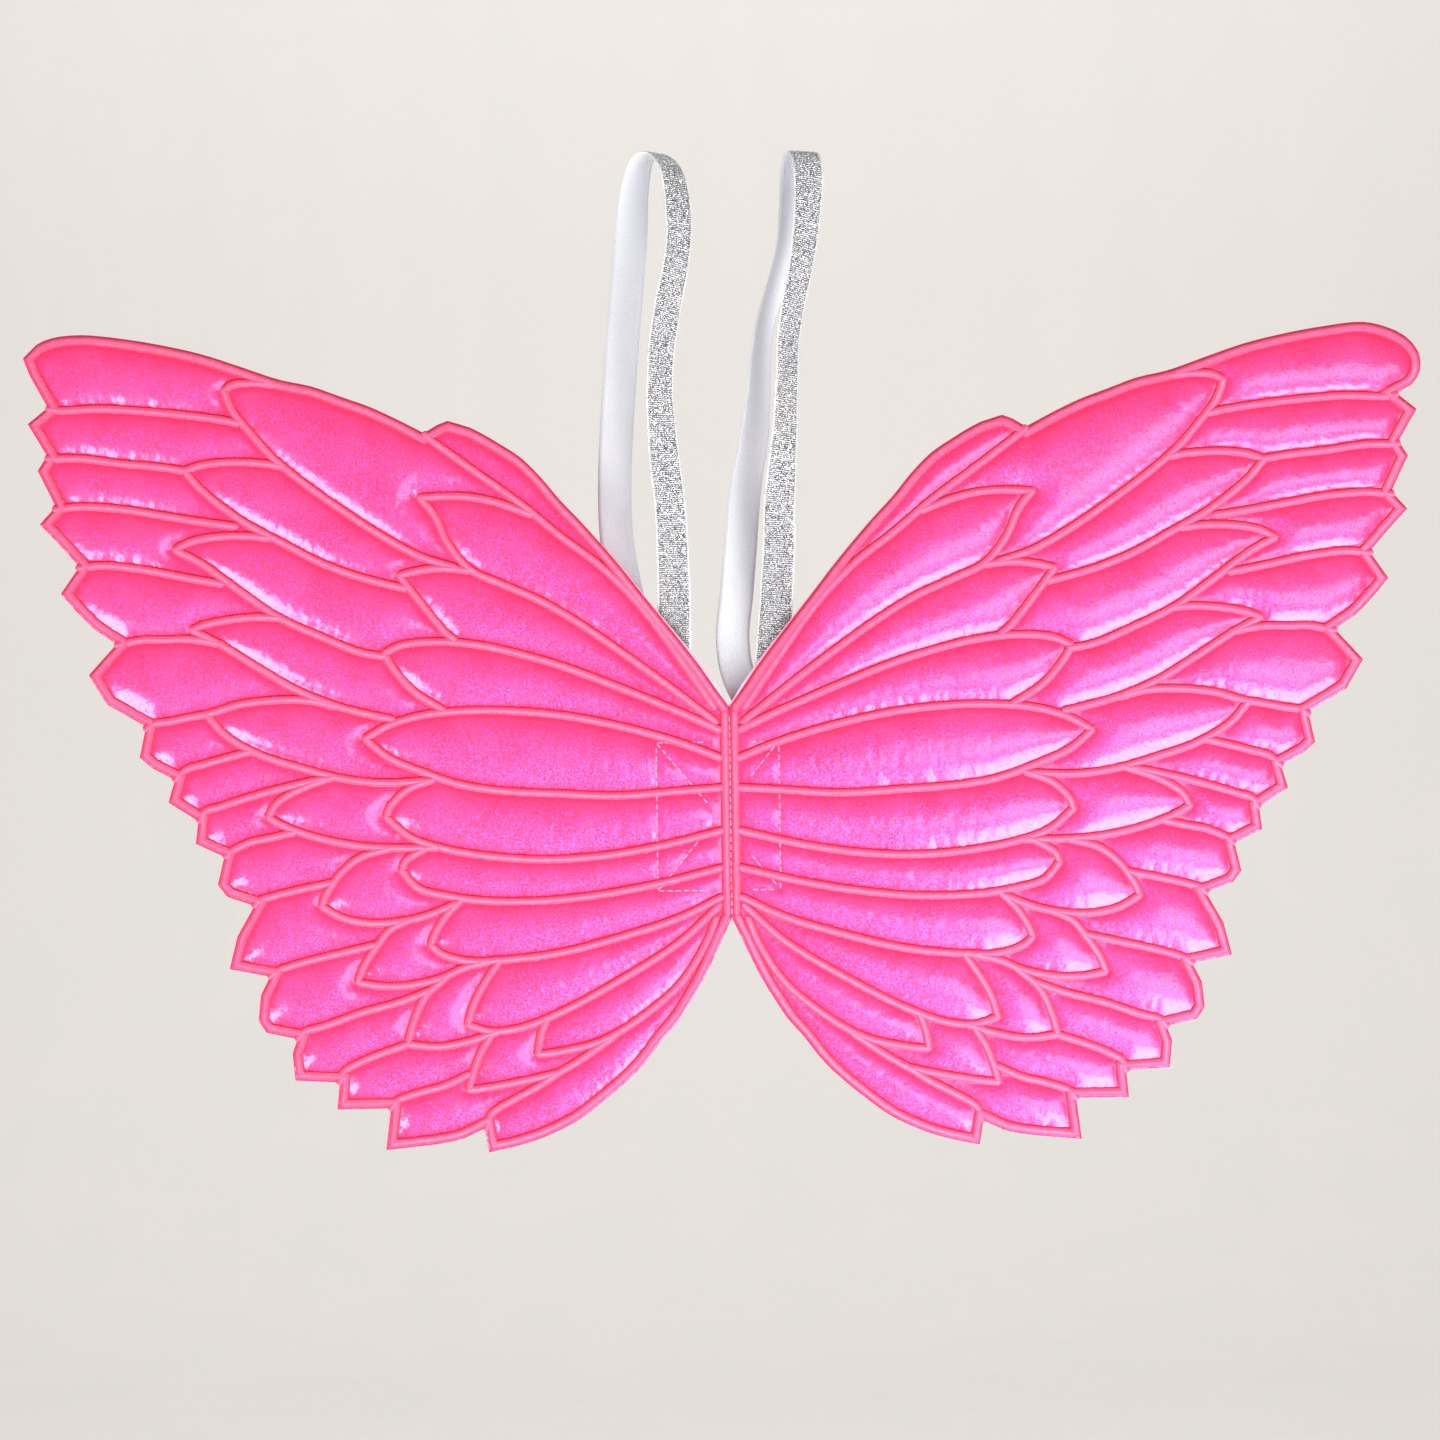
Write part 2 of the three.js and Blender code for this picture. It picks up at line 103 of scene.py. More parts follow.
# How far apart the points of each layer are.
FILM_SPACING = 1.25
LINING_SPACING = 1.9
FELT_SPACING = 0.9
SHEET_SPACING = 4.0
COARSE = 2.0
LINING_SWELL = 0.18

# An outline corner sharper than this is a feather's tip, and stays sharp for a short way to both sides.
CORNER_TURN = math.radians(26)
TIP_CLEAR = 6.0

# Patch seam and elastic.
BOX_X = (-27.6, 18.4)
BOX_Z = (-28.0, 27.5)
DENT_WIDTH = 1.3
PATCH_MIDDLE_HALF = 4.9
WING_EDGE = 5.6
STITCH, STITCH_GAP = 2.3, 0.7
STITCH_HALF, STITCH_RISE = 0.28, 0.25
STRAP_WIDTH = 12.7
STRAP_THICK = 0.8

OUTLINE = [
    (0, 40.5), (5, 47.5), (10.5, 55.5), (18, 65.5), (25.5, 75), (33, 84.5), (40, 93.5), (47.5, 102.5),
    (55, 111), (62.5, 119), (69.5, 127.5), (77, 135), (84.5, 140), (92, 144.5), (99.5, 148), (104, 149),
    (108, 147.5), (113, 144.5), (121.5, 149), (133, 154.5), (144, 158.5), (155, 162.5), (166.5, 165),
    (181, 170), (196, 175), (211, 178.5), (225.5, 181), (240.5, 182.5), (251, 181.5), (257, 179),
    (262, 174), (259.5, 167.5), (253, 155.5), (260.5, 149.5), (253.5, 137.5), (257, 132), (250.5, 118.5),
    (256.5, 112), (249, 104), (242, 96), (249, 86), (243, 79), (236, 72), (228.5, 67), (239, 55.5),
    (232.5, 44.5), (218, 36), (220.5, 24.5), (216, 20.5), (207.5, 16), (210, 7.5), (199, 0.5), (200, -8),
    (189.5, -13), (192, -23.5), (188.5, -28), (178.5, -31.5), (185, -43), (188, -55), (173, -58),
    (176.5, -65), (177.5, -74.5), (174.5, -79), (163, -81.5), (165, -87), (164, -97), (147.5, -98),
    (148.5, -108), (128.5, -108), (130.5, -123.5), (110.5, -121.5), (101, -119.5), (93.5, -116), (92, -125),
    (80.5, -122.5), (71, -119.5), (58.5, -113.5), (49, -106.5), (40, -99), (33, -92), (26.5, -83.5),
    (20, -76), (15.5, -69), (11, -61.5), (7.5, -54.5), (4, -47), (0, -38.5),
]

# The right wing's top feather is trimmed rounder between these two corners.
TRIM_FROM, TRIM_TO = (240.5, 182.5), (253, 155.5)
RIGHT_TRIM = [(249.5, 180.5), (256.5, 177), (261.5, 171), (262, 164), (258.5, 158.5)]

# Seams between feathers, each from the feather's tip towards its root.
OUTER_FEATHERS = [
    [(253, 155), (248.5, 154.5), (233.5, 155), (218.5, 154), (203.5, 152.5), (189, 150.5), (182, 149)],
    [(253.5, 136.5), (241, 136.5), (226, 134.5), (211.5, 133), (202.5, 131.5)],
    [(251, 117.5), (242, 118.5), (226.5, 117.5), (211.5, 115), (197, 112.5), (183.5, 110.5)],
    [(242.5, 95.5), (234, 96.5), (219.5, 95), (204.5, 92), (189, 89)],
    [(228.5, 66.5), (219.5, 68.5), (212, 68.5), (201, 68.5), (189, 66.5)],
    [(218, 35), (215.5, 37), (209, 38), (201.5, 39.5), (195.5, 40.5)],
    [(207.5, 16), (203, 20), (196, 22), (188.5, 24), (178.5, 26.5)],
    [(198.5, 0.5), (196.5, 4), (190.5, 6), (175.5, 10.5), (161, 14), (148, 16.5)],
    [(189, -13), (187, -11), (179.5, -7.5), (172, -6), (163, -4)],
    [(178.5, -31.5), (176.5, -29.5), (172, -28), (161.5, -25.5), (149, -23)],
    [(173, -58), (170.5, -56), (161.5, -53), (146.5, -49.5), (133, -46.5)],
    [(163, -81.5), (161, -79), (152.5, -76.5), (139.5, -72), (124.5, -68), (112, -63.5)],
    [(147.5, -98), (146, -94), (140, -90.5), (132.5, -87.5), (122, -84)],
    [(128.5, -108), (126, -105), (117.5, -102), (108, -99.5), (99, -95.5)],
    [(93, -116), (91, -110.5), (83, -105.5), (73.5, -100.5), (66.5, -96), (57, -90.5), (44.5, -82)],
]
MIDDLE_FEATHERS = [
    [(187.5, 161.5), (184, 163.5), (177.5, 164), (170, 163.5), (162.5, 162)],
    [(187.5, 161.5), (184.5, 154), (177.5, 145), (169.5, 136), (159.5, 127.5), (144.5, 116.5),
     (129.5, 106.5), (115, 98.5), (101.5, 94)],
    [(202.5, 131.5), (196.5, 133.5), (187, 134.5), (174, 134), (165, 132.5)],
    [(202.5, 131.5), (196.5, 124.5), (182, 113), (167, 104.5), (152, 96.5), (137.5, 91), (120.5, 86.5)],
    [(206.5, 102), (200.5, 105), (193, 106.5), (182, 107), (171, 106)],
    [(206.5, 102), (197, 97), (182, 86), (167.5, 76), (152.5, 69), (138, 63), (127.5, 61)],
    [(200.5, 72), (195.5, 74), (188, 75.5), (176.5, 76.5), (166.5, 76)],
    [(200.5, 72), (190, 66.5), (175, 57), (160.5, 48.5), (145.5, 42.5), (125.5, 37.5)],
    [(195.5, 40.5), (190, 42), (183, 44), (168, 45.5), (156.5, 45), (147, 42.5)],
    [(195.5, 40.5), (188.5, 32.5), (175.5, 25), (160.5, 20), (146, 16), (131, 14), (113, 14.5)],
    [(173, 1.5), (170, 6.5), (161, 12), (148, 16.5)],
    [(173, 1.5), (166.5, -2), (153.5, -6.5), (138.5, -9.5), (124, -10.5), (109, -10.5)],
    [(153.5, -32), (152, -28), (145.5, -19), (138, -13.5), (127, -10.5)],
    [(153.5, -32), (146.5, -36), (139, -38), (130, -38.5), (116.5, -36.5), (101.5, -31)],
    [(140.5, -60.5), (138, -54.5), (133, -47), (128, -41), (119.5, -37)],
    [(140.5, -60.5), (132, -62), (122.5, -62), (109.5, -59.5), (100, -55.5), (88.5, -53)],
    [(122, -84), (120, -76.5), (115, -66), (107, -59)],
    [(122, -84), (110, -85), (98.5, -83), (87.5, -79.5)],
    [(99.5, -101.5), (98, -96), (95, -88), (90.5, -80.5)],
    [(99.5, -101.5), (91.5, -100.5), (80, -98.5), (72.5, -97), (66, -95.5)],
]
INNER_FEATHERS = [
    [(113, 144), (105, 138), (92, 128.5), (77.5, 118), (62.5, 105.5), (47.5, 94), (33, 79), (18, 58.5),
     (5.5, 40.5)],
    [(115, 120.5), (105.5, 121), (96, 120.5), (86.5, 118.5), (73, 113.5)],
    [(115, 120.5), (110, 114.5), (104.5, 103), (96.5, 93.5), (85, 88), (70.5, 81.5), (55.5, 72.5),
     (40.5, 62), (25.5, 51), (5, 35)],
    [(123, 91.5), (117, 93), (107.5, 94), (96.5, 93)],
    [(123, 91.5), (115, 81), (106, 70), (102, 66.5)],
    [(129, 62.5), (122, 65.5), (108, 66.5), (93, 65), (78, 61.5), (63, 57), (41, 48.5), (18.5, 39),
     (3.5, 32)],
    [(129, 62.5), (125.5, 56.5), (118, 48), (106.5, 40.5)],
    [(136.5, 30.5), (127.5, 35.5), (115.5, 39), (100.5, 40.5), (86, 40.5), (63.5, 38.5), (41, 34),
     (18.5, 27.5), (3, 21.5)],
    [(136.5, 30.5), (128, 23.5), (118, 19), (101, 13), (86, 10.5), (63.5, 9), (41.5, 8), (19, 9.5),
     (3, 10.5)],
    [(129, 1), (127.5, 5), (120.5, 11.5), (111, 15)],
    [(129, 1), (120, -6.5), (109, -10.5), (94, -13.5), (71.5, -15.5), (49, -14.5), (26.5, -11), (3, -5.5)],
    [(123.5, -19), (122, -15.5), (118.5, -13), (112.5, -10)],
    [(123.5, -19), (117.5, -25.5), (107, -28.5), (94, -30.5), (71.5, -31), (49.5, -29), (26.5, -25),
     (3.5, -19.5)],
    [(113, -47), (111.5, -43), (107, -36), (101.5, -30.5)],
    [(113, -47), (109.5, -50), (100, -53), (87, -53), (64.5, -50.5), (42, -45), (19.5, -38), (3.5, -30.5)],
    [(99.5, -77), (97.5, -70), (93, -61.5), (87.5, -53.5)],
    [(99.5, -77), (91, -79.5), (80, -78.5), (65, -73), (42, -61), (19.5, -47), (4.5, -33.5)],
    [(73.5, -88.5), (73, -85), (72, -80.5), (70, -75.5)],
    [(73.5, -88.5), (65, -87.5), (50, -84), (35, -75.5), (19.5, -62.5), (10, -48), (6, -38.5)],
]
SEAMS = OUTER_FEATHERS + MIDDLE_FEATHERS + INNER_FEATHERS

# The elastic inside the patch at its top, and behind the patch and round its lower edge, as y and z.
UPPER_RUN = [(-1.5, 8), (-1.45, 22), (-1.4, 33.5)]
LOWER_RUN = [
    (0.75, 33.5), (0.75, 20), (0.75, 0), (0.75, -20), (0.75, -30), (0.5, -32.3), (-0.38, -33.3),
    (-1.25, -32.3), (-1.5, -30), (-1.5, -20), (-1.5, -6),
]

# The loops between them, as x, y, z and the angle the band is turned: up the glitter leg, over the fold
# and down the plain leg.
LEFT_LOOP = [
    (-20.5, -1.2, 55, 0), (-20.2, -0.8, 70, 2), (-20.1, -0.3, 83.5, 12), (-21.1, 0, 115.7, 22),
    (-22.8, 0.4, 132.3, 24), (-24.5, 1.4, 161.5, 38), (-22.3, 2.2, 184.4, 36), (-16.7, 4, 215, 40),
    (-16.5, 5, 228, 38), (-17.8, 7, 239, 42), (-20.5, 9.5, 246.5, 47), (-24.5, 12.8, 250.5, 50),
    (-29, 16.6, 249.5, 48), (-32, 19.2, 242, 38), (-34.8, 20, 215, 8), (-37.7, 19.5, 184.5, 2),
    (-40.8, 18, 146.3, 0), (-41.8, 16, 124, 0), (-41.2, 12.5, 104, 0), (-37, 8.4, 80, 0), (-31, 4.6, 58, 0),
    (-25, 1.8, 42, 0),
]
RIGHT_LOOP = [
    (15.8, -1.2, 52, 0), (17.6, -0.5, 72, 2), (19.5, 0, 99, 12), (19.9, 0.5, 115, 18), (22.2, 1.4, 141, 38),
    (23.3, 2.2, 161, 46), (24.9, 3.2, 184, 46), (30.8, 4.8, 215, 38), (32.8, 6.6, 236, 30),
    (32.4, 9, 246, 25), (31.2, 12.4, 250.5, 22), (29.6, 16, 249.5, 24), (28, 18.8, 242, 30),
    (25, 19.5, 215, 48), (15.7, 19, 184, 52), (13.4, 18.5, 161, 42), (11.5, 17.5, 144, 28),
    (8, 16, 124, 20), (5.3, 12.6, 99, 10), (3.7, 9.8, 83, 4), (1.9, 7, 67, 0), (3.4, 4.4, 54, 0),
    (7.6, 2.4, 44, 0), (11.6, 1.1, 37.5, 0),
]


def strap_route(upper_x, loop, lower_x):
    """Stations of x, y, z and turn along one whole band of elastic."""
    upper = [(upper_x, y, z, 0) for y, z in UPPER_RUN]
    lower = [(lower_x, y, z, 0) for y, z in LOWER_RUN]
    return upper + loop + lower


STRAPS = {"left": strap_route(-20.8, LEFT_LOOP, -22.5), "right": strap_route(14.8, RIGHT_LOOP, 12.8)}


# ---------------------------------------------------------------- lines


def smooth(points, step):
    """A centripetal Catmull-Rom curve through points of any number of values, sampled about step apart."""
    p = np.array(points, float)
    p = np.vstack([2 * p[0] - p[1], p, 2 * p[-1] - p[-2]])
    out = []
    for i in range(1, len(p) - 2):
        a, b, c, d = p[i - 1 : i + 3]
        knots = np.cumsum([0] + [np.linalg.norm((v - u)[:3]) ** 0.5 for u, v in ((a, b), (b, c), (c, d))])
        count = max(1, math.ceil(np.linalg.norm((c - b)[:3]) / step))
        for t in np.linspace(knots[1], knots[2], count, endpoint=False):
            ab = a + (b - a) * (t - knots[0]) / (knots[1] - knots[0])
            bc = b + (c - b) * (t - knots[1]) / (knots[2] - knots[1])
            cd = c + (d - c) * (t - knots[2]) / (knots[3] - knots[2])
            abc = ab + (bc - ab) * (t - knots[0]) / (knots[2] - knots[0])
            bcd = bc + (cd - bc) * (t - knots[1]) / (knots[3] - knots[1])
            out.append(abc + (bcd - abc) * (t - knots[1]) / (knots[2] - knots[1]))
    return np.array(out + [p[-2]])


def along(line):
    """Distance along a line at each of its points."""
    return np.concatenate([[0], np.cumsum(np.linalg.norm(np.diff(line, axis=0), axis=1))])


def respaced(line, step):
    at = along(line)
    to = np.linspace(0, at[-1], max(2, math.ceil(at[-1] / step) + 1))
    return np.stack([np.interp(to, at, line[:, k]) for k in range(line.shape[1])], axis=1)


def turn_at(points, i):
    """The angle an open outline turns by at point i."""
    a, b = points[i] - points[i - 1], points[i + 1] - points[i]
    return abs(math.atan2(a[0] * b[1] - a[1] * b[0], a @ b))


def smooth_outline(hand):
    """A wing's outline with its long sweeps rounded and its feather tips left sharp."""
    corners = OUTLINE
    if hand == "right":
        corners = OUTLINE[: OUTLINE.index(TRIM_FROM) + 1] + RIGHT_TRIM + OUTLINE[OUTLINE.index(TRIM_TO) :]
    points = np.array(corners, float)
    inner = range(1, len(points) - 1)
    tips = [i for i in inner if turn_at(points, i) > CORNER_TURN and corners[i] not in RIGHT_TRIM]
    sharp = [0] + tips + [len(points) - 1]
    runs = []
    for a, b in zip(sharp, sharp[1:]):
        run = points[a : b + 1]
        if len(run) > 3:
            middle = smooth(run, 4.5)
            to_ends = [np.linalg.norm(middle - end, axis=1) for end in (run[0], run[-1])]
            run = np.vstack([run[:1], middle[np.minimum(*to_ends) >= TIP_CLEAR], run[-1:]])
        runs.append(run[:-1])
    return np.vstack(runs + [points[-1:]])


def moved_sideways(path, distance):
    """An open path moved sideways with mitred corners; positive is to the left of travel."""
    step = np.diff(path, axis=0)
    normal = np.stack([-step[:, 1], step[:, 0]], axis=1) / np.linalg.norm(step, axis=1)[:, None]
    before, after = np.vstack([normal[:1], normal]), np.vstack([normal, normal[-1:]])
    return path + (before + after) * (distance / (1 + (before * after).sum(1)))[:, None]


def inside(points, polygon):
    """Which points lie inside a polygon."""
    x, z = points[:, :1], points[:, 1:]
    a, b = polygon, np.roll(polygon, -1, axis=0)
    crosses = (a[:, 1] > z) != (b[:, 1] > z)
    rise = np.where(b[:, 1] == a[:, 1], 1e-9, b[:, 1] - a[:, 1])
    at = a[:, 0] + (z - a[:, 1]) * (b[:, 0] - a[:, 0]) / rise
    return (crosses & (x < at)).sum(1) % 2 == 1


# ---------------------------------------------------------------- padding


def stamp(mask, line, radius):
    """Marks the grid cells within radius of a line."""
    reach = math.ceil(radius / GRID_STEP)
    span = np.arange(-reach, reach + 1)
    i, j = np.meshgrid(span, span, indexing="ij")
    disc = np.stack([i, j], axis=-1)[np.hypot(i, j) * GRID_STEP <= radius]
    cells = np.round((respaced(line, GRID_STEP / 2) - GRID_LOW) / GRID_STEP).astype(int)
    marked = (cells[:, None] + disc[None]).reshape(-1, 2)
    marked = marked[((marked >= 0) & (marked < mask.shape)).all(axis=1)]
    mask[marked[:, 0], marked[:, 1]] = True


def padding_height(outline, seams):
    """How far the padding lifts the film over a grid: nothing on the seams, its full loft far from them."""
    pinned = np.zeros([round(s / GRID_STEP) for s in GRID_SIZE], bool)
    pinned[[0, -1], :] = True
    pinned[:, [0, -1]] = True
    stamp(pinned, outline, HEM + RIM_WIDTH - 0.1)
    for seam in seams:
        stamp(pinned, seam, SATIN_HALF - 0.1)
    stamp(pinned, np.array([(0, -SPINE_REACH), (0, SPINE_REACH)]), SPINE_HALF + 0.2)
    height = np.zeros(pinned.shape, np.float32)
    pull = (GRID_STEP / LOFT_REACH) ** 2
    for _ in range(GRID_ROUNDS):
        around = height[:-2, 1:-1] + height[2:, 1:-1] + height[1:-1, :-2] + height[1:-1, 2:]
        height[1:-1, 1:-1] = (around + pull * LOFT) / (4 + pull)
        height[pinned] = 0
    return height, pinned


def sampled(grid, points):
    """A grid's values at points, straight between its cells."""
    at = np.clip((points - GRID_LOW) / GRID_STEP, 0, np.array(grid.shape) - 1.001)
    i, j = at.astype(int).T
    u, v = (at - at.astype(int)).T
    near = grid[i, j] * (1 - v) + grid[i, j + 1] * v
    far = grid[i + 1, j] * (1 - v) + grid[i + 1, j + 1] * v
    return near * (1 - u) + far * u


def distance_to(points, a, b):
    """Distance of points from the straight line between a and b."""
    a, b = np.array(a, float), np.array(b, float)
    t = np.clip(((points - a) @ (b - a)) / ((b - a) @ (b - a)), 0, 1)
    return np.linalg.norm(points - a - t[:, None] * (b - a), axis=1)


def patch_seams():
    """The lines that fix the patch: a box and its two diagonals, as pairs of (x, z)."""
    (x0, x1), (z0, z1) = BOX_X, BOX_Z
    upright = [((x0, z0), (x0, z1)), ((x1, z0), (x1, z1))]
    level = [((x0, z1), (x1, z1)), ((x0, z0), (x1, z0))]
    return upright + level + [((x0, z0), (x1, z1)), ((x0, z1), (x1, z0))]


def stitch_dents(points):
    """The share of its height that the padding keeps: all of it away from the patch seams, less on them."""
    left_up = np.ones(len(points))
    for a, b in patch_seams():
        left_up *= 1 - 0.4 * np.exp(-((distance_to(points, a, b) / DENT_WIDTH) ** 2))
    return left_up


# ---------------------------------------------------------------- meshes


def mesh_object(name, vertices, faces, uv, materials, slots=None):
    """A mesh in metres from vertices in millimetres, with one UV in millimetres for each vertex."""
    mesh = bpy.data.meshes.new(name)
    mesh.from_pydata((np.asarray(vertices, float) * MM).tolist(), [], [tuple(map(int, f)) for f in faces])
    layer = mesh.uv_layers.new(name="millimetres")
    corner = np.zeros(len(mesh.loops), np.int32)
    mesh.loops.foreach_get("vertex_index", corner)
    layer.data.foreach_set("uv", np.asarray(uv, np.float32)[corner].ravel())
    for material in materials:
        mesh.materials.append(material)
    if slots is not None:
        mesh.polygons.foreach_set("material_index", np.asarray(slots, np.int32))
    mesh.polygons.foreach_set("use_smooth", [True] * len(mesh.polygons))
    mesh.validate()
    mesh.update()
    made = bpy.data.objects.new(name, mesh)
    bpy.context.scene.collection.objects.link(made)
    return made


def store(piece, name, values):
    """Keeps one number for each vertex, for the materials."""
    layer = piece.data.attributes.new(name, "FLOAT", "POINT")
    layer.data.foreach_set("value", np.asarray(values, np.float32))


def hex_points(low, high, spacing):
    """Points that fill a box in staggered rows."""
    rows = np.arange(low[1], high[1], spacing * math.sqrt(0.75))
    points = []
    for k, z in enumerate(rows):
        xs = np.arange(low[0] + (k % 2) * spacing / 2, high[0], spacing)
        points.append(np.stack([xs, np.full(len(xs), z)], axis=1))
    return np.vstack(points)


def with_fold_columns(points):
    """The points, with close upright columns in place of those where the wing folds."""
    z = np.arange(-SPINE_REACH, SPINE_REACH, 1.5)
    places = np.linspace(FOLD_START - 0.4, FOLD_END + 0.4, 7)
    columns = [np.stack([np.full(len(z), x), z], axis=1) for x in places]
    clear = (points[:, 0] < FOLD_START - 1.5) | (points[:, 0] > FOLD_END + 1.5)
    return np.vstack([points[clear]] + columns)


def triangulated(outline, spacing):
    """Points and triangles that fill an outline evenly; a coarse fill gets close columns at the fold."""
    edge = respaced_corners(outline, spacing)
    inner = hex_points(edge.min(0), edge.max(0), spacing)
    if spacing > COARSE:
        inner = with_fold_columns(inner)
    inner = inner[inside(inner, edge)]
    clearance = 0.55 * spacing if spacing < COARSE else 1.0
    points = np.vstack([edge, inner[nearest_gap(inner, edge) > clearance]])
    loop = [(i, (i + 1) % len(edge)) for i in range(len(edge))]
    made = delaunay_2d_cdt([Vector(p) for p in points], loop, [], 1, 1e-6)
    placed = np.array([tuple(v) for v in made[0]])
    triangles = np.array([f for f in made[2] if len(f) == 3], int)
    a, b, c = (placed[triangles[:, k]] for k in range(3))
    turned = (b[:, 0] - a[:, 0]) * (c[:, 1] - a[:, 1]) - (b[:, 1] - a[:, 1]) * (c[:, 0] - a[:, 0]) < 0
    triangles[turned] = triangles[turned][:, ::-1]
    return placed, triangles


def respaced_corners(outline, spacing):
    """The outline's own corners with points between them about spacing apart."""
    closed = np.vstack([outline, outline[:1]])
    pieces = []
    for a, b in zip(closed, closed[1:]):
        count = max(1, round(np.linalg.norm(b - a) / spacing))
        pieces.append(a + (b - a) * (np.arange(count) / count)[:, None])
    return np.vstack(pieces)


def nearest_gap(points, line):
    """Distance from each point to the nearest point of a line, in blocks to save memory."""
    blocks = np.array_split(points, 60)
    return np.concatenate([np.linalg.norm(block[:, None] - line[None], axis=2).min(1) for block in blocks])


def closed_sheet(points, triangles, face_y, back_y, side):
    """Vertices and faces of a solid between two skins over the same triangles; face_y looks towards -Y."""
    x = side * points[:, 0]
    front = np.stack([x, np.broadcast_to(face_y, len(x)), points[:, 1]], axis=1)
    back = np.stack([x, np.broadcast_to(back_y, len(x)), points[:, 1]], axis=1)
    return closed_skins(front, back, triangles[:, ::side])


def closed_skins(front, back, triangles):
    """Vertices and faces of a solid between two skins whose rims are joined by a wall."""
    n = len(front)
    directed = np.concatenate([triangles[:, [0, 1]], triangles[:, [1, 2]], triangles[:, [2, 0]]])
    key = directed[:, 0] * n + directed[:, 1]
    other = directed[:, 1] * n + directed[:, 0]
    rim = directed[~np.isin(key, other)]
    walls = [(b, a, a + n, b + n) for a, b in rim]
    faces = [tuple(t) for t in triangles] + [tuple(t[::-1] + n) for t in triangles] + walls
    return np.vstack([front, back]), faces


def closed_bar(vertices, distance, across):
    """Vertices, faces and uv of a closed bar whose vertices are given as [station, line around it]."""
    stations, lines = vertices.shape[:2]
    lengthways = np.repeat(distance[:, None], lines, 1)
    uv = np.stack([np.broadcast_to(across, (stations, lines)), lengthways], axis=2)
    faces = []
    for i in range(stations - 1):
        for j in range(lines):
            a, b = i * lines + j, i * lines + (j + 1) % lines
            faces.append((a, b, b + lines, a + lines))
    last = (stations - 1) * lines
    faces += [tuple(range(lines))[::-1], tuple(range(last, last + lines))]
    return vertices.reshape(-1, 3), faces, uv.reshape(-1, 2)


def joined(parts):
    """Several (vertices, faces, uv) as one."""
    vertices, faces, uv, count = [], [], [], 0
    for v, f, u in parts:
        vertices.append(v)
        uv.append(u)
        faces += [tuple(i + count for i in face) for face in f]
        count += len(v)
    return np.vstack(vertices), faces, np.vstack(uv)


def satin_bar(path, half, base_y, rise, side, random, mitred=False):
    """One run of satin stitching over a path: rounded across, uneven along its edges, with rounded ends."""
    across = np.linspace(-1, 1, 9)
    if mitred:
        rows = [subdivided(path, moved_sideways(path, half * u), 0.6) for u in across]
    else:
        line = respaced(path, 0.6)
        rows = [moved_sideways(line, half * u) for u in across]
    middle = rows[len(rows) // 2]
    distance = along(middle)
    taper = np.ones(len(middle))
    if not mitred:
        from_end = np.minimum(distance, distance[-1] - distance) + 0.05
        taper = np.sqrt(np.clip(1 - (1 - np.clip(from_end / half, 0, 1)) ** 2, 0.02, 1))
    ragged = 1 + random.uniform(-0.05, 0.05, (2, len(middle)))
    rows = [
        middle + (row - middle) * (taper * np.where(u < 0, ragged[0], ragged[1]))[:, None]
        for row, u in zip(rows, across)
    ]
    bump = 1 + random.uniform(-0.05, 0.05, len(middle))
    heights = [base_y - rise * (1 - u * u) ** 0.55 * bump * taper for u in across]
    lines = [np.stack([side * row[:, 0], y, row[:, 1]], axis=1) for row, y in zip(rows, heights)]
    vertices, faces, uv = closed_bar(np.stack(lines, axis=1), distance, across * half)
    if side * np.sign(rise) > 0:
        faces = [f[::-1] for f in faces]
    return vertices, faces, uv


def subdivided(path, moved, step):
    """A moved copy of a coarse path with the same number of points between each pair of corners."""
    pieces = []
    for i in range(len(path) - 1):
        count = max(2, math.ceil(np.linalg.norm(path[i + 1] - path[i]) / step))
        share = (np.arange(count) / count)[:, None]
        pieces.append(moved[i] + (moved[i + 1] - moved[i]) * share)
    return np.vstack(pieces + [moved[-1:]])


def fold_piece(piece):
    """Bakes the piece's placement into its mesh and hands the piece back."""
    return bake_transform(piece)


# ---------------------------------------------------------------- materials


def linear(red, green, blue):
    """A colour given as 0 to 255 values on a screen, as a shader wants it."""
    values = [c / 255 for c in (red, green, blue)]
    return tuple(c / 12.92 if c <= 0.04045 else ((c + 0.055) / 1.055) ** 2.4 for c in values) + (1.0,)


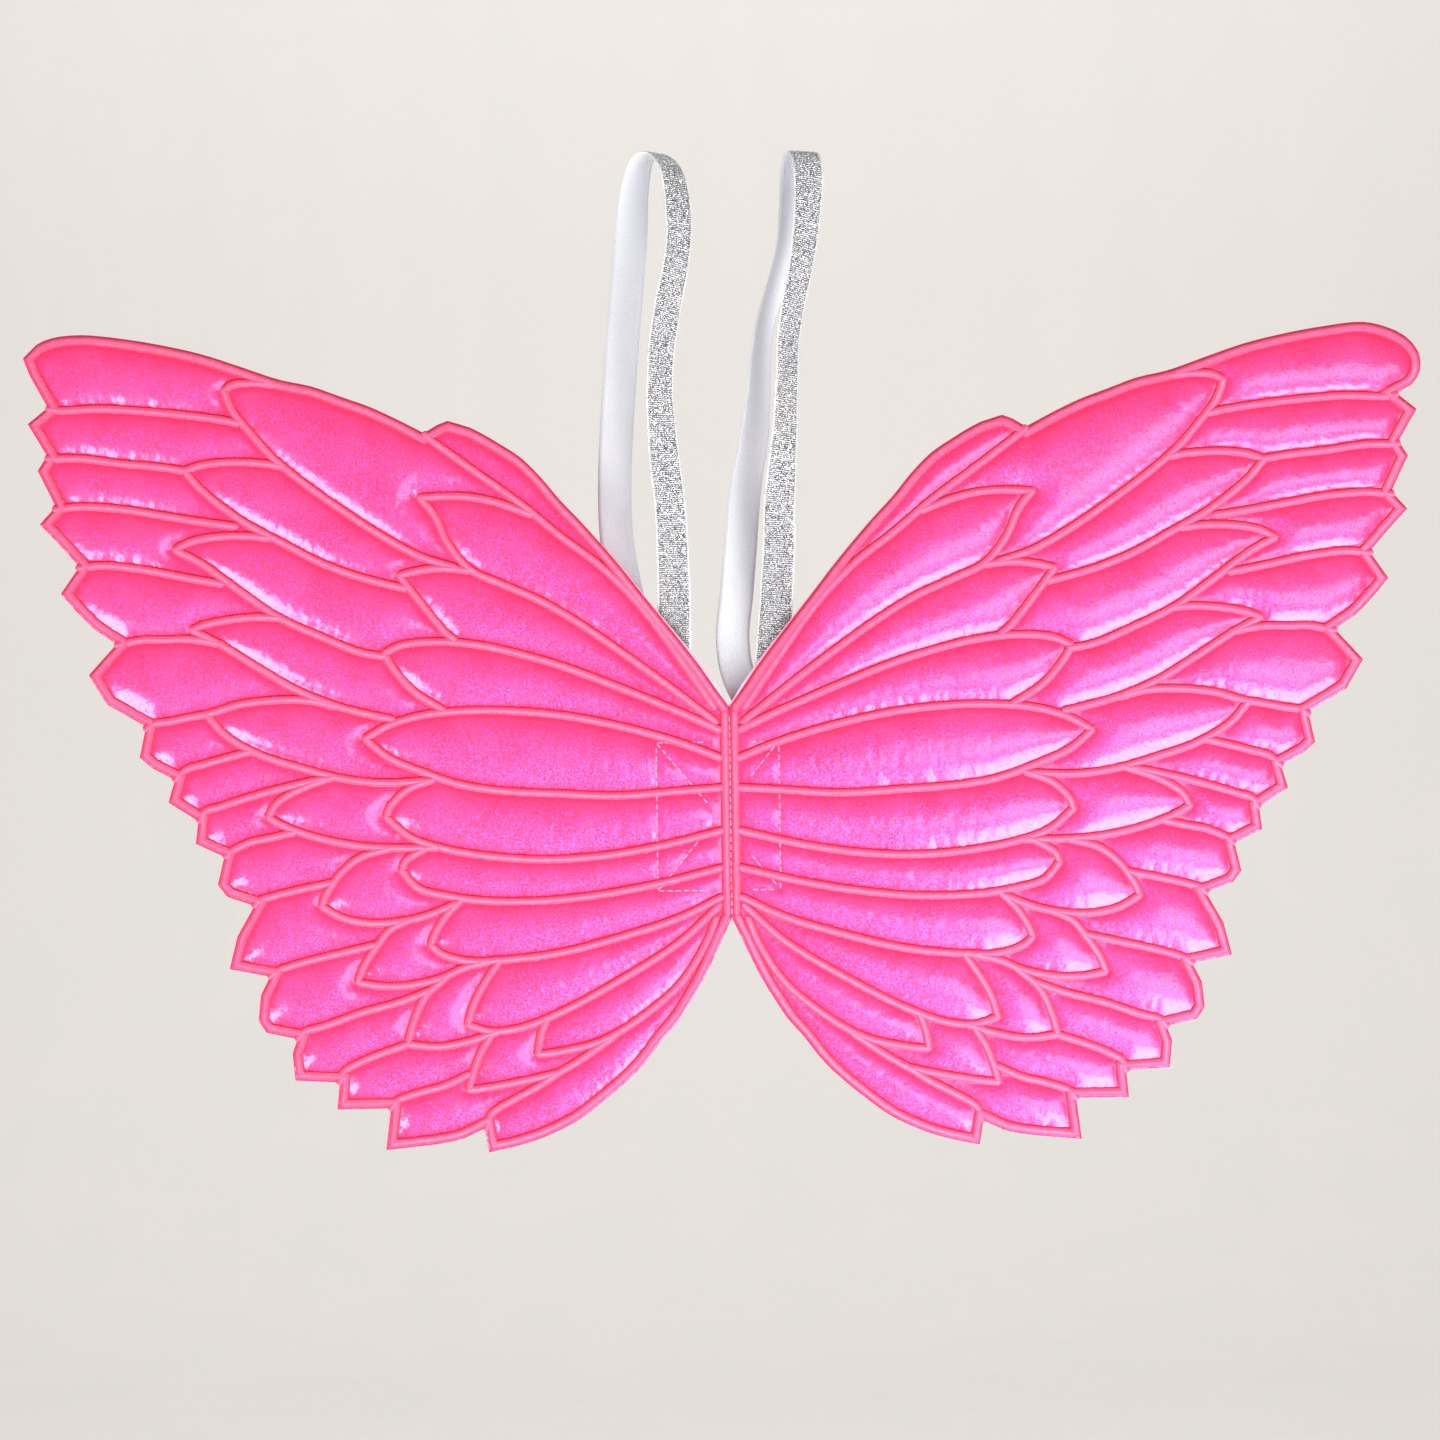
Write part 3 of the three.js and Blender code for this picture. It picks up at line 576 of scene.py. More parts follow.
class Look:
    """A node material with one Principled shader, and short ways to add to it."""

    def __init__(self, name, **constants):
        self.material = bpy.data.materials.new(name)
        self.material.use_nodes = True
        self.tree = self.material.node_tree
        self.shader = self.tree.nodes["Principled BSDF"]
        for key, value in constants.items():
            self.shader.inputs[key.replace("_", " ")].default_value = value
        self.uv = self.node("ShaderNodeUVMap", uv_map="millimetres").outputs["UV"]

    def node(self, kind, inputs=None, **settings):
        made = self.tree.nodes.new(kind)
        for key, value in settings.items():
            setattr(made, key, value)
        for key, value in (inputs or {}).items():
            if isinstance(value, bpy.types.NodeSocket):
                self.tree.links.new(value, made.inputs[key])
            else:
                made.inputs[key].default_value = value
        return made

    def set(self, key, socket):
        self.tree.links.new(socket, self.shader.inputs[key])

    def scaled(self, across, down, turn=0.0):
        """The UV in millimetres, turned and scaled to cycles."""
        inputs = {"Vector": self.uv, "Scale": (across, down, 1), "Rotation": (0, 0, turn)}
        return self.node("ShaderNodeMapping", inputs).outputs["Vector"]

    def noise(self, vector, detail=2.0, roughness=0.5):
        inputs = {"Vector": vector, "Scale": 1.0, "Detail": detail, "Roughness": roughness}
        return self.node("ShaderNodeTexNoise", inputs, noise_dimensions="2D").outputs["Fac"]

    def web(self, ways, detail, roughness):
        """Fibres that lie two ways, each given as cycles across and down, and a turn."""
        first, second = (self.noise(self.scaled(*way), detail, roughness) for way in ways)
        return self.math("ADD", first, second)

    def waves(self, vector, period, distortion, direction="Y", detail=2.0):
        """Parallel bands, one in each period."""
        inputs = {"Vector": vector, "Scale": WAVE_SCALE / period, "Distortion": distortion, "Detail": detail}
        return self.node("ShaderNodeTexWave", inputs, bands_direction=direction).outputs["Fac"]

    def cells(self, vector, randomness=1.0):
        """A random colour for each small cell, whole and split into its channels."""
        inputs = {"Vector": vector, "Randomness": randomness}
        colour = self.node("ShaderNodeTexVoronoi", inputs, voronoi_dimensions="2D").outputs["Color"]
        return colour, self.node("ShaderNodeSeparateColor", {"Color": colour}).outputs

    def leaning(self, colour, amount):
        """A normal that leans its own way in each cell."""
        inputs = {"Color": self.mix(amount, UPRIGHT, colour), "Strength": 0.9}
        return self.node("ShaderNodeNormalMap", inputs, uv_map="millimetres").outputs["Normal"]

    def across(self):
        """How far a point is from the middle line of its bar or band."""
        return self.node("ShaderNodeSeparateXYZ", {"Vector": self.uv}).outputs["X"]

    def math(self, operation, a, b=0.0):
        return self.node("ShaderNodeMath", {0: a, 1: b}, operation=operation).outputs[0]

    def ramp(self, value, low, high, to_low=0.0, to_high=1.0):
        inputs = {"Value": value, "From Min": low, "From Max": high, "To Min": to_low, "To Max": to_high}
        return self.node("ShaderNodeMapRange", inputs).outputs["Result"]

    def mix(self, share, a, b):
        made = self.node("ShaderNodeMix", data_type="RGBA")
        for index, value in ((0, share), (6, a), (7, b)):
            if isinstance(value, bpy.types.NodeSocket):
                self.tree.links.new(value, made.inputs[index])
            else:
                made.inputs[index].default_value = value
        return made.outputs[2]

    def bump(self, height, distance, strength=1.0, normal=None):
        inputs = {"Height": height, "Distance": distance, "Strength": strength}
        if normal is not None:
            inputs["Normal"] = normal
        return self.node("ShaderNodeBump", inputs).outputs["Normal"]


# A wave texture at this scale has one band in each unit. A normal map of this colour changes nothing.
WAVE_SCALE = 0.314
UPRIGHT = (0.5, 0.5, 1.0, 1.0)

CORAL = linear(255, 62, 118)
CORAL_DEEP = linear(252, 48, 96)
CORAL_PALE = linear(255, 84, 150)
# Painted shade for the film where it lies low in the creases by the seams.
CREASE_SHADE = linear(236, 34, 78)
VIOLET = linear(216, 50, 142)
VIOLET_PALE = linear(250, 110, 184)
SATIN_PINK = linear(255, 80, 130)
SATIN_SHADE = linear(244, 50, 98)
# Painted shade along the sides of the stitched bars, most on one side.
SATIN_SIDE_SHADE = linear(240, 36, 84)
SATIN_HOLE = linear(188, 14, 56)
# Painted highlight along the top of the stitched bars.
SATIN_CREST_HIGHLIGHT = linear(255, 136, 174)
BOBBIN_PINK = linear(255, 120, 165)
BOBBIN_SHADE = linear(225, 60, 115)
# Painted shade along the sides of the bobbin bars, most on one side.
BOBBIN_SIDE_SHADE = linear(214, 52, 106)
THREAD_PINK = linear(255, 176, 214)
THREAD_SHADE = linear(235, 110, 170)


def film_look():
    """Glossy coral film with violet flakes that each lie at their own angle, fewer of them in the creases,
    where the base colour is darkened as painted shade.
    """
    look = Look("glitter_film", Roughness=0.19, IOR=1.6)
    look.shader.inputs["Specular IOR Level"].default_value = 0.85
    look.shader.inputs["Specular Tint"].default_value = (1.0, 0.55, 1.0, 1.0)
    lift = look.node("ShaderNodeAttribute", attribute_name="lift").outputs["Fac"]
    cloud = look.noise(look.scaled(0.07, 0.07), detail=3.0)
    grain = look.noise(look.scaled(0.9, 0.9), roughness=0.6)
    tone = look.mix(look.ramp(cloud, 0.35, 0.7), CORAL, CORAL_DEEP)
    tone = look.mix(look.ramp(grain, 0.35, 0.65, 0.0, 0.3), tone, CORAL_PALE)
    # Painted shade: the base colour darkens where the film lies low in the creases by the seams.
    look.set("Base Color", look.mix(look.ramp(lift, 0.0, 0.3), CREASE_SHADE, tone))
    look.set("Normal", look.bump(look.noise(look.scaled(0.3, 0.3)), 0.00025, 0.5))
    flakes, random = look.cells(look.scaled(0.92, 0.92))
    wanted = look.math("ADD", random["Red"], look.ramp(grain, 0.3, 0.7, -0.25, 0.25))
    hue = look.mix(random["Green"], VIOLET, VIOLET_PALE)
    inputs = {"Color": hue, "Roughness": 0.42, "Normal": look.leaning(flakes, 0.34)}
    glitter = look.node("ShaderNodeBsdfAnisotropic", inputs)
    # Fewer flakes where the film lies low by the seams, which deepens the painted crease shade.
    raised = look.ramp(lift, 0.0, 0.5, 0.45, 1.0)
    share = look.math("MULTIPLY", look.ramp(wanted, 0.56, 0.64, 0.0, 0.8), raised)
    both = look.node("ShaderNodeMixShader", {0: share, 1: look.shader.outputs[0], 2: glitter.outputs[0]})
    look.tree.links.new(both.outputs[0], look.tree.nodes["Material Output"].inputs["Surface"])
    return look.material


def satin_look(name, light, shade, edge, pitch=0.42):
    """Dense zigzag thread laid side by side across a seam, with a silky gloss, painted shade in its grooves
    and along its edges, and a painted highlight along the middle of the bar.
    """
    look = Look(name, Roughness=0.42, Sheen_Weight=0.25, Sheen_Roughness=0.4)
    look.shader.inputs["Sheen Tint"].default_value = (1.0, 0.75, 0.85, 1.0)
    slant = look.scaled(1 / pitch, 1 / pitch, math.radians(14))
    line = look.waves(slant, 1.0, 0.6, detail=1.0)
    patchy = look.noise(look.scaled(0.25, 0.5), detail=3.0)
    tone = look.mix(look.ramp(patchy, 0.3, 0.7, 0.0, 0.45), light, shade)
    # Painted shade in the grooves between the threads.
    tone = look.mix(look.ramp(line, 0.0, 0.45, 0.5, 0.0), tone, shade)
    across = look.across()
    # Painted shade: both edges darken a little where the stitches dip, and the side at negative across
    # darkens much more, as the shaded side of the raised bar.
    tone = look.mix(look.ramp(look.math("ABSOLUTE", across), 0.9, 1.55, 0.0, 0.3), tone, edge)
    tone = look.mix(look.ramp(across, -0.75, -1.4, 0.0, 0.9), tone, edge)
    stations = look.waves(look.uv, 1.4, 1.2)
    holes = look.math("MULTIPLY", look.ramp(stations, 0.55, 0.8), look.ramp(across, -0.95, -1.35))
    tone = look.mix(look.math("MULTIPLY", holes, 0.7), tone, SATIN_HOLE)
    # Painted highlight: a lighter band along the bar, a little towards positive across.
    crest = look.ramp(look.math("ABSOLUTE", look.math("SUBTRACT", across, 0.35)), 0.0, 0.55, 0.4, 0.0)
    look.set("Base Color", look.mix(crest, tone, SATIN_CREST_HIGHLIGHT))
    look.set("Roughness", look.ramp(patchy, 0.3, 0.7, 0.36, 0.5))
    look.set("Normal", look.bump(line, 0.00018, 0.7))
    return look.material


def foam_look():
    """The cut edge of white fibre padding."""
    look = Look("padding_edge", Roughness=0.95)
    fluff = look.noise(look.scaled(3.0, 3.0), detail=4.0)
    look.set("Base Color", look.mix(look.ramp(fluff, 0.3, 0.7), linear(255, 196, 226), linear(255, 168, 208)))
    look.set("Normal", look.bump(fluff, 0.0002, 0.8))
    return look.material


def lining_look():
    """Pink non-woven backing: pressed fibres with a grid of small bonding points."""
    look = Look("lining", Roughness=0.85, Sheen_Weight=0.15, Sheen_Roughness=0.5)
    web = look.web([(1.2, 5.0, 0.5), (5.0, 1.4, 0.3)], 5.0, 0.65)
    dots = look.node("ShaderNodeTexVoronoi", {"Vector": look.scaled(0.8, 0.8, 0.785), "Randomness": 0.08})
    pressed = look.ramp(dots.outputs["Distance"], 0.16, 0.3)
    tone = look.mix(look.ramp(web, 0.8, 1.25), linear(236, 96, 146), linear(250, 138, 178))
    look.set("Base Color", look.mix(look.ramp(pressed, 0, 1, 0.3, 0.0), tone, linear(222, 78, 130)))
    height = look.math("ADD", look.math("MULTIPLY", web, 0.35), pressed)
    look.set("Normal", look.bump(height, 0.00015, 0.6))
    return look.material


def felt_look():
    """White felt, matted from fibres that lie all ways."""
    look = Look("felt", Roughness=0.95, Sheen_Weight=0.3, Sheen_Roughness=0.6)
    web = look.web([(1.5, 6.0, 0.6), (6.0, 1.6, 0.2)], 6.0, 0.7)
    look.set("Base Color", look.mix(look.ramp(web, 0.75, 1.25), linear(226, 222, 220), linear(250, 248, 246)))
    look.set("Normal", look.bump(web, 0.0003, 0.7))
    return look.material


def lame_look():
    """Silver thread woven into the elastic: short bright dashes in tight rows between white edges."""
    look = Look("silver_lame", Roughness=0.3)
    dashes, random = look.cells(look.scaled(0.7, 1.35), 0.85)
    rows = look.waves(look.uv, 0.8, 0.4)
    edge = look.ramp(look.math("ABSOLUTE", look.across()), STRAP_WIDTH / 2 - 0.75, STRAP_WIDTH / 2 - 0.5)
    silver = look.mix(look.ramp(random["Red"], 0.32, 0.7), linear(66, 64, 66), linear(240, 240, 244))
    silver = look.mix(look.ramp(rows, 0.0, 0.4, 0.6, 0.0), silver, linear(88, 86, 88))
    look.set("Base Color", look.mix(edge, silver, linear(236, 236, 240)))
    inner = look.math("SUBTRACT", 1.0, edge)
    look.set("Metallic", look.math("MULTIPLY", inner, look.ramp(random["Green"], 0.3, 0.6, 0.1, 0.6)))
    look.set("Roughness", look.ramp(edge, 0, 1, 0.32, 0.8))
    look.set("Normal", look.bump(rows, 0.0002, 0.7, look.leaning(dashes, 0.42)))
    return look.material


def twill_look():
    """The plain face of the elastic: white yarn in fine slanting ribs."""
    look = Look("white_elastic", Roughness=0.7, Sheen_Weight=0.2, Sheen_Roughness=0.4)
    ribs = look.waves(look.scaled(1, 1, 0.7), 0.75, 0.3, "X")
    yarn = look.noise(look.scaled(3.0, 1.2), detail=4.0)
    tone = look.mix(look.ramp(yarn, 0.3, 0.7), linear(212, 213, 220), linear(227, 228, 235))
    look.set("Base Color", look.mix(look.ramp(ribs, 0.0, 0.5, 0.35, 0.0), tone, linear(192, 194, 204)))
    look.set("Normal", look.bump(ribs, 0.00015, 0.6))
    return look.material


def studio_look():
    """Plain warm grey card, a little uneven."""
    look = Look("studio", Roughness=0.9)
    cloud = look.noise(look.scaled(0.01, 0.01))
    look.set("Base Color", look.mix(cloud, linear(232, 228, 224), linear(228, 225, 221)))
    return look.material


LOOKS = {
    "film": film_look(),
    "satin": satin_look("satin_stitch", SATIN_PINK, SATIN_SHADE, SATIN_SIDE_SHADE),
    "bobbin": satin_look("bobbin_stitch", BOBBIN_PINK, BOBBIN_SHADE, BOBBIN_SIDE_SHADE, 0.5),
    "thread": satin_look("seam_thread", THREAD_PINK, THREAD_SHADE, THREAD_SHADE, 0.3),
    "foam": foam_look(),
    "lining": lining_look(),
    "felt": felt_look(),
    "lame": lame_look(),
    "twill": twill_look(),
}


# ---------------------------------------------------------------- wings

seams = [smooth(seam, 0.8) for seam in SEAMS]


class Wing:
    """The shapes that all layers of one wing share, in distance from the spine and height."""

    def __init__(self, hand):
        self.hand, self.side = hand, HANDS[hand]
        self.outline = smooth_outline(hand)
        self.height, self.pinned = padding_height(self.outline, seams)


def puffed(front, triangles, held, seed):
    """The film's front skin blown up between its seams by a cloth simulation, from front to its new place."""
    random = np.random.default_rng(seed)
    start = front.copy()
    start[:, 1] += random.normal(0, 0.02, len(front)) * ~held
    piece = mesh_object("cloth", start * CLOTH_SCALE, triangles, front[:, [0, 2]], [])
    group = piece.vertex_groups.new(name="held")
    group.add([int(i) for i in np.flatnonzero(held)], 1.0, "REPLACE")
    cloth = piece.modifiers.new("cloth", "CLOTH")
    settings = cloth.settings
    settings.quality = 5
    settings.mass = 0.15
    settings.tension_stiffness = settings.compression_stiffness = 18
    settings.shear_stiffness = 6
    settings.bending_stiffness = 0.6
    settings.tension_damping = settings.compression_damping = 12
    settings.shear_damping = 8
    settings.vertex_group_mass = "held"
    settings.shrink_min = settings.shrink_max = -0.004
    settings.use_pressure = True
    settings.uniform_pressure_force = 2.2
    settings.effector_weights.gravity = 0
    cloth.collision_settings.use_collision = False
    scene = bpy.context.scene
    for step in range(1, CLOTH_STEPS + 1):
        scene.frame_set(step)
    shape = piece.evaluated_get(bpy.context.evaluated_depsgraph_get()).to_mesh()
    moved = np.zeros(len(front) * 3, np.float32)
    shape.vertices.foreach_get("co", moved)
    moved = moved.reshape(-1, 3) / (CLOTH_SCALE * MM)
    bpy.data.objects.remove(piece)
    scene.frame_set(1)
    shift = moved - front
    far = np.maximum(np.linalg.norm(shift, axis=1), 1e-6)
    return front + CLOTH_SHARE * shift * np.minimum(1, CLOTH_LIMIT / far)[:, None]


def film_cover(wing):
    """The glitter film over one wing, and a search tree of its front skin."""
    hand, side = wing.hand, wing.side
    points, triangles = triangulated(wing.outline, FILM_SPACING)
    flat = points * (side, 1)
    lift = sampled(wing.height, points) * stitch_dents(flat)
    front = np.stack([flat[:, 0], FILM_FACE - lift, flat[:, 1]], axis=1)
    triangles = triangles[:, ::side]
    held = sampled(wing.pinned.astype(float), points) > 0.4
    front = puffed(front, triangles, held, 7 + side)
    depth = np.clip(FILM_FACE - front[:, 1], 0, None)
    front[:, 1] = FILM_FACE - depth / (1 + (depth / DEEPEST) ** 4) ** 0.25
    back = np.stack([flat[:, 0], np.full(len(flat), FILM_BACK), flat[:, 1]], axis=1)
    vertices, faces = closed_skins(front, back, triangles)
    uv = np.vstack([flat, flat])
    piece = mesh_object(f"{hand}_film", vertices, faces, uv, [LOOKS["film"]])
    raised = np.clip((FILM_FACE - front[:, 1]) / PAD_LIMIT, 0, 1)
    store(piece, "lift", np.concatenate([raised, raised * 0]))
    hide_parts(f"{hand}_film_cover")
    tree = BVHTree.FromPolygons(front.tolist(), triangles.tolist())
    return fold_piece(piece), tree


def foam_core(wing):
    """The padding between the skins, whose pale edge shows a little past the film, most at the notch."""
    hand, side = wing.hand, wing.side
    from_notch = np.linalg.norm(wing.outline - OUTLINE[0], axis=1)
    past = 0.05 + 0.95 * np.exp(-((from_notch / 45) ** 2))
    edge = wing.outline + (moved_sideways(wing.outline, 1.0) - wing.outline) * past[:, None]
    edge[[0, -1], 0] = 0
    points, triangles = triangulated(edge, SHEET_SPACING)
    vertices, faces = closed_sheet(points, triangles, FILM_BACK + 0.02, FOAM_BACK - 0.02, side)
    piece = mesh_object(f"{hand}_padding", vertices, faces, vertices[:, [0, 2]], [LOOKS["foam"]])
    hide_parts(f"{hand}_foam_core")
    return fold_piece(piece)


def lining(wing):
    """The backing sheet, pulled in along the seams and a little round between them."""
    hand, side = wing.hand, wing.side
    points, triangles = triangulated(wing.outline, LINING_SPACING)
    swell = sampled(wing.height, points) * LINING_SWELL
    behind_patch = (abs(points[:, 1]) < PATCH_HIGH.z + 4) & (points[:, 0] < abs(PATCH_LOW.x) + 4)
    swell[behind_patch] = 0
    back_y = LINING_BACK - 0.3 + swell
    vertices, faces = closed_sheet(points, triangles, FOAM_BACK, back_y, side)
    piece = mesh_object(f"{hand}_backing", vertices, faces, vertices[:, [0, 2]], [LOOKS["lining"]])
    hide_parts(f"{hand}_lining")
    return fold_piece(piece)


def run_on(line, distance):
    """A line carried straight on past both ends."""
    first = line[0] + (line[0] - line[1]) / np.linalg.norm(line[0] - line[1]) * distance
    last = line[-1] + (line[-1] - line[-2]) / np.linalg.norm(line[-1] - line[-2]) * distance
    return np.vstack([[first], line, [last]])


def satin_net(wing):
    """The stitched rim and every seam of one wing."""
    hand, side = wing.hand, wing.side
    random = np.random.default_rng(20 + side)
    rim = moved_sideways(wing.outline, -(HEM + RIM_WIDTH / 2))
    bars = [satin_bar(rim, SATIN_HALF, FILM_FACE, SATIN_RISE, side, random, mitred=True)]
    for seam in seams:
        bars.append(satin_bar(run_on(seam, 1.0), SATIN_HALF, FILM_FACE, SATIN_RISE, side, random))
    piece = mesh_object(f"{hand}_satin", *joined(bars), [LOOKS["satin"]])
    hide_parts(f"{hand}_satin_seams")
    return fold_piece(piece)


def bobbin_net(wing):
    """The same stitching seen from behind, narrower and flatter."""
    hand, side = wing.hand, wing.side
    random = np.random.default_rng(40 + side)
    rim = moved_sideways(wing.outline, -(HEM + RIM_WIDTH / 2))
    bars = [satin_bar(rim, BOBBIN_HALF, BOBBIN_FACE, BOBBIN_RISE, side, random, mitred=True)]
    bars += [satin_bar(seam, BOBBIN_HALF, BOBBIN_FACE, BOBBIN_RISE, side, random) for seam in seams]
    piece = mesh_object(f"{hand}_bobbin", *joined(bars), [LOOKS["bobbin"]])
    return fold_piece(piece)


def spine_satin(hand):
    """The ridge of stitching along one edge of the spine strip."""
    side = HANDS[hand]
    random = np.random.default_rng(60 + side)
    low, high = OUTLINE[-1][1] + 0.4, OUTLINE[0][1] - 1.0
    middle = (RIDGE_INNER + SPINE_HALF) / 2
    path = np.array([(middle, low), (middle, high)])
    bar = satin_bar(path, (SPINE_HALF - RIDGE_INNER) / 2, FILM_FACE, SATIN_RISE, side, random)
    piece = mesh_object(f"spine_stitch_{hand}", *bar, [LOOKS["satin"]])
    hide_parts(f"spine_satin_{hand}")
    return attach(piece, "spine")


def stitches(lines, surface_y, bulge):
    """Short rounded threads laid end to end along straight lines, on the surface that surface_y gives."""
    random = np.random.default_rng(80)
    parts = []
    for a, b in lines:
        a, b = np.array(a, float), np.array(b, float)
        length = np.linalg.norm(b - a)
        direction = (b - a) / length
        for k in range(int(length / (STITCH + STITCH_GAP))):
            start = a + direction * (k * (STITCH + STITCH_GAP) + STITCH_GAP / 2)
            path = start + direction * np.linspace(0, STITCH, 5)[:, None]
            y = surface_y(path)
            if y is None:
                continue
            vertices, faces, uv = satin_bar(path, STITCH_HALF, 0.0, bulge, 1, random)
            vertices[:, 1] += y
            parts.append((vertices, faces, uv))
    return joined(parts)


def patch_lines_within(low, high):
    """The parts of the patch seams whose x lies between low and high."""
    kept = []
    for a, b in patch_seams():
        a, b = np.array(a, float), np.array(b, float)
        if a[0] > b[0]:
            a, b = b, a
        if b[0] < low or a[0] > high:
            continue
        if a[0] != b[0]:
            slope = (b - a) / (b[0] - a[0])
            start = a + slope * max(0.0, low - a[0])
            end = b - slope * max(0.0, b[0] - high)
            a, b = start, end
        kept.append((a, b))
    return kept


def front_stitches(hand, tree):
    """The patch seam as it shows through the glitter film."""

    def film_y(path):
        hits = [tree.ray_cast(Vector((x, -20, z)), Vector((0, 1, 0)))[0] for x, z in path]
        return None if any(h is None for h in hits) else float(np.mean([h.y for h in hits]))

    past_fold = FOLD_END + 0.6
    span = (BOX_X[0] - 1, -past_fold) if hand == "left" else (past_fold, BOX_X[1] + 1)
    shown = stitches(patch_lines_within(*span), film_y, STITCH_RISE)
    piece = mesh_object(f"{hand}_front_stitches", *shown, [LOOKS["thread"]])
    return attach(piece, f"{hand}_wing")


def spine_row():
    """The line of needle holes and thread between the two spine ridges."""
    low, high = OUTLINE[-1][1] + 1, OUTLINE[0][1] - 2
    parts = stitches([((0, low), (0, high))], lambda path: FILM_FACE - 0.1, STITCH_RISE)
    piece = mesh_object("spine_row", *parts, [LOOKS["thread"]])
    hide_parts("spine_stitch_row", "spine_film", "spine_foam", "spine_lining")
    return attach(piece, "spine")


# ---------------------------------------------------------------- patch


def strap_lift(points):
    """1 where elastic lies under the patch, 0 elsewhere, with soft edges."""
    lift = np.zeros(len(points))
    for stations in STRAPS.values():
        for (x, _, z, _), low, high in ((stations[0], 6, 40), (stations[-1], -40, -4)):
            inside_x = np.clip((STRAP_WIDTH / 2 + 1.2 - abs(points[:, 0] - x)) / 1.6, 0, 1)
            inside_z = np.clip(np.minimum(points[:, 1] - low, high - points[:, 1]) / 1.8, 0, 1)
            lift = np.maximum(lift, inside_x * inside_z)
    return lift * lift * (3 - 2 * lift)


def patch_back_y(points):
    """The felt's outer face: on the lining at its edge, raised over the elastic, pressed in by its seam."""
    pressed = np.zeros(len(points))
    for a, b in patch_seams():
        pressed = np.maximum(pressed, np.exp(-((distance_to(points, a, b) / DENT_WIDTH) ** 2)))
    return -0.75 + 0.72 * strap_lift(points) - 0.42 * pressed * (1 - 0.4 * strap_lift(points))


def patch_half(hand):
    """The felt on one side of the spine."""
    side = HANDS[hand]
    edge = abs(PATCH_LOW.x) if side < 0 else PATCH_RIGHT
    corners = np.array([(0, PATCH_LOW.z), (edge, PATCH_LOW.z), (edge, PATCH_HIGH.z), (0, PATCH_HIGH.z)])
    points, triangles = triangulated(corners, FELT_SPACING)
    flat = points * (side, 1)
    back = patch_back_y(flat)
    front = LINING_BACK - 0.02 + 0.95 * strap_lift(flat)
    vertices, faces = closed_sheet(points, triangles, np.minimum(front, back - 0.3), back, side)
    piece = mesh_object(f"{hand}_patch", vertices, faces, vertices[:, [0, 2]], [LOOKS["felt"]])
    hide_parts(f"{hand}_patch_flap")
    if side < 0:
        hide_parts("patch_middle")
    return fold_piece(piece)


def patch_stitches(name, low, high, body, *nodes):
    """The box seam on the back of the patch, between two distances across it."""

    def felt_y(path):
        return float(np.mean(patch_back_y(path)))

    shown = stitches(patch_lines_within(low, high), felt_y, -STITCH_RISE)
    piece = mesh_object(name, *shown, [LOOKS["thread"]])
    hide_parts(*nodes)
    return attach(piece, body)


# ---------------------------------------------------------------- straps


def band_section():
    """The glitter side of the elastic's section, and the whole of it, as (across, out) with rounded edges."""
    half = STRAP_WIDTH / 2
    across = np.linspace(-half, half, 9)
    out = STRAP_THICK / 2 * np.sqrt(np.clip(1 - (abs(across) / half) ** 8, 0.06, 1))
    glitter = np.stack([across, -out], axis=1)
    return glitter, np.vstack([glitter, (glitter * (1, -1))[::-1]])


def band_axes(line, distance):
    """The band's middle line, and the directions across it and out of its plain side at each station."""
    centre = line[:, :3]
    direction = np.gradient(centre, distance, axis=0)
    direction /= np.linalg.norm(direction, axis=1)[:, None]
    turn = np.radians(line[:, 3])
    across = np.stack([np.cos(turn), np.sin(turn), np.zeros(len(turn))], axis=1)
    across -= (across * direction).sum(1)[:, None] * direction
    across /= np.linalg.norm(across, axis=1)[:, None]
    return centre, across, np.cross(across, direction)


def band_waver(distance):
    """How far the edges of the free stretch bow out of its plane."""
    from_middle = abs(distance - distance[-1] / 2)
    free = np.clip((from_middle - distance[-1] / 2 + 60) / -20, 0, 1)
    return free * (0.12 * np.sin(distance / 7.3) + 0.08 * np.sin(distance / 3.1 + 1))


def strap(hand):
    """One band of elastic from inside the patch, round the loop and back: glitter outside, plain inside."""
    line = smooth(STRAPS[hand], 1.2)
    distance = along(line[:, :3])
    centre, across, out = band_axes(line, distance)
    glitter, ring = band_section()
    waver = band_waver(distance)
    bow = (ring[:, 0] / (STRAP_WIDTH / 2)) ** 2
    lines = [centre + across * x + out * (t + waver * b)[:, None] for (x, t), b in zip(ring, bow)]
    vertices, faces, uv = closed_bar(np.stack(lines, axis=1), distance, ring[:, 0])
    slots = ([1] * len(glitter) + [0] * (len(ring) - len(glitter))) * (len(centre) - 1) + [1, 1]
    piece = mesh_object(f"{hand}_strap_band", vertices, faces, uv, [LOOKS["lame"], LOOKS["twill"]], slots)
    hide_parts(f"{hand}_strap_loop", f"{hand}_strap_upper_end", f"{hand}_strap_lower_end")
    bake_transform(piece)
    return piece


# ---------------------------------------------------------------- studio


def backdrop():
    """A pale floor that sweeps up into the wall behind the wings."""
    floor, wall, bend = -0.62, 3.6, 1.2
    turn = np.linspace(0, math.pi / 2, 24)
    arc = np.stack([wall - bend + bend * np.sin(turn), floor + bend - bend * np.cos(turn)], axis=1)
    profile = np.vstack([[(-4.0, floor)], arc, [(wall, 4.5)]])
    rows = [np.stack([np.full(len(profile), x), profile[:, 0], profile[:, 1]], axis=1) for x in (-5.0, 5.0)]
    n = len(profile)
    faces = [(i, i + n, i + n + 1, i + 1) for i in range(n - 1)]
    vertices = np.vstack(rows) / MM
    piece = mesh_object("backdrop", vertices, faces, vertices[:, [0, 1]], [studio_look()])
    return piece


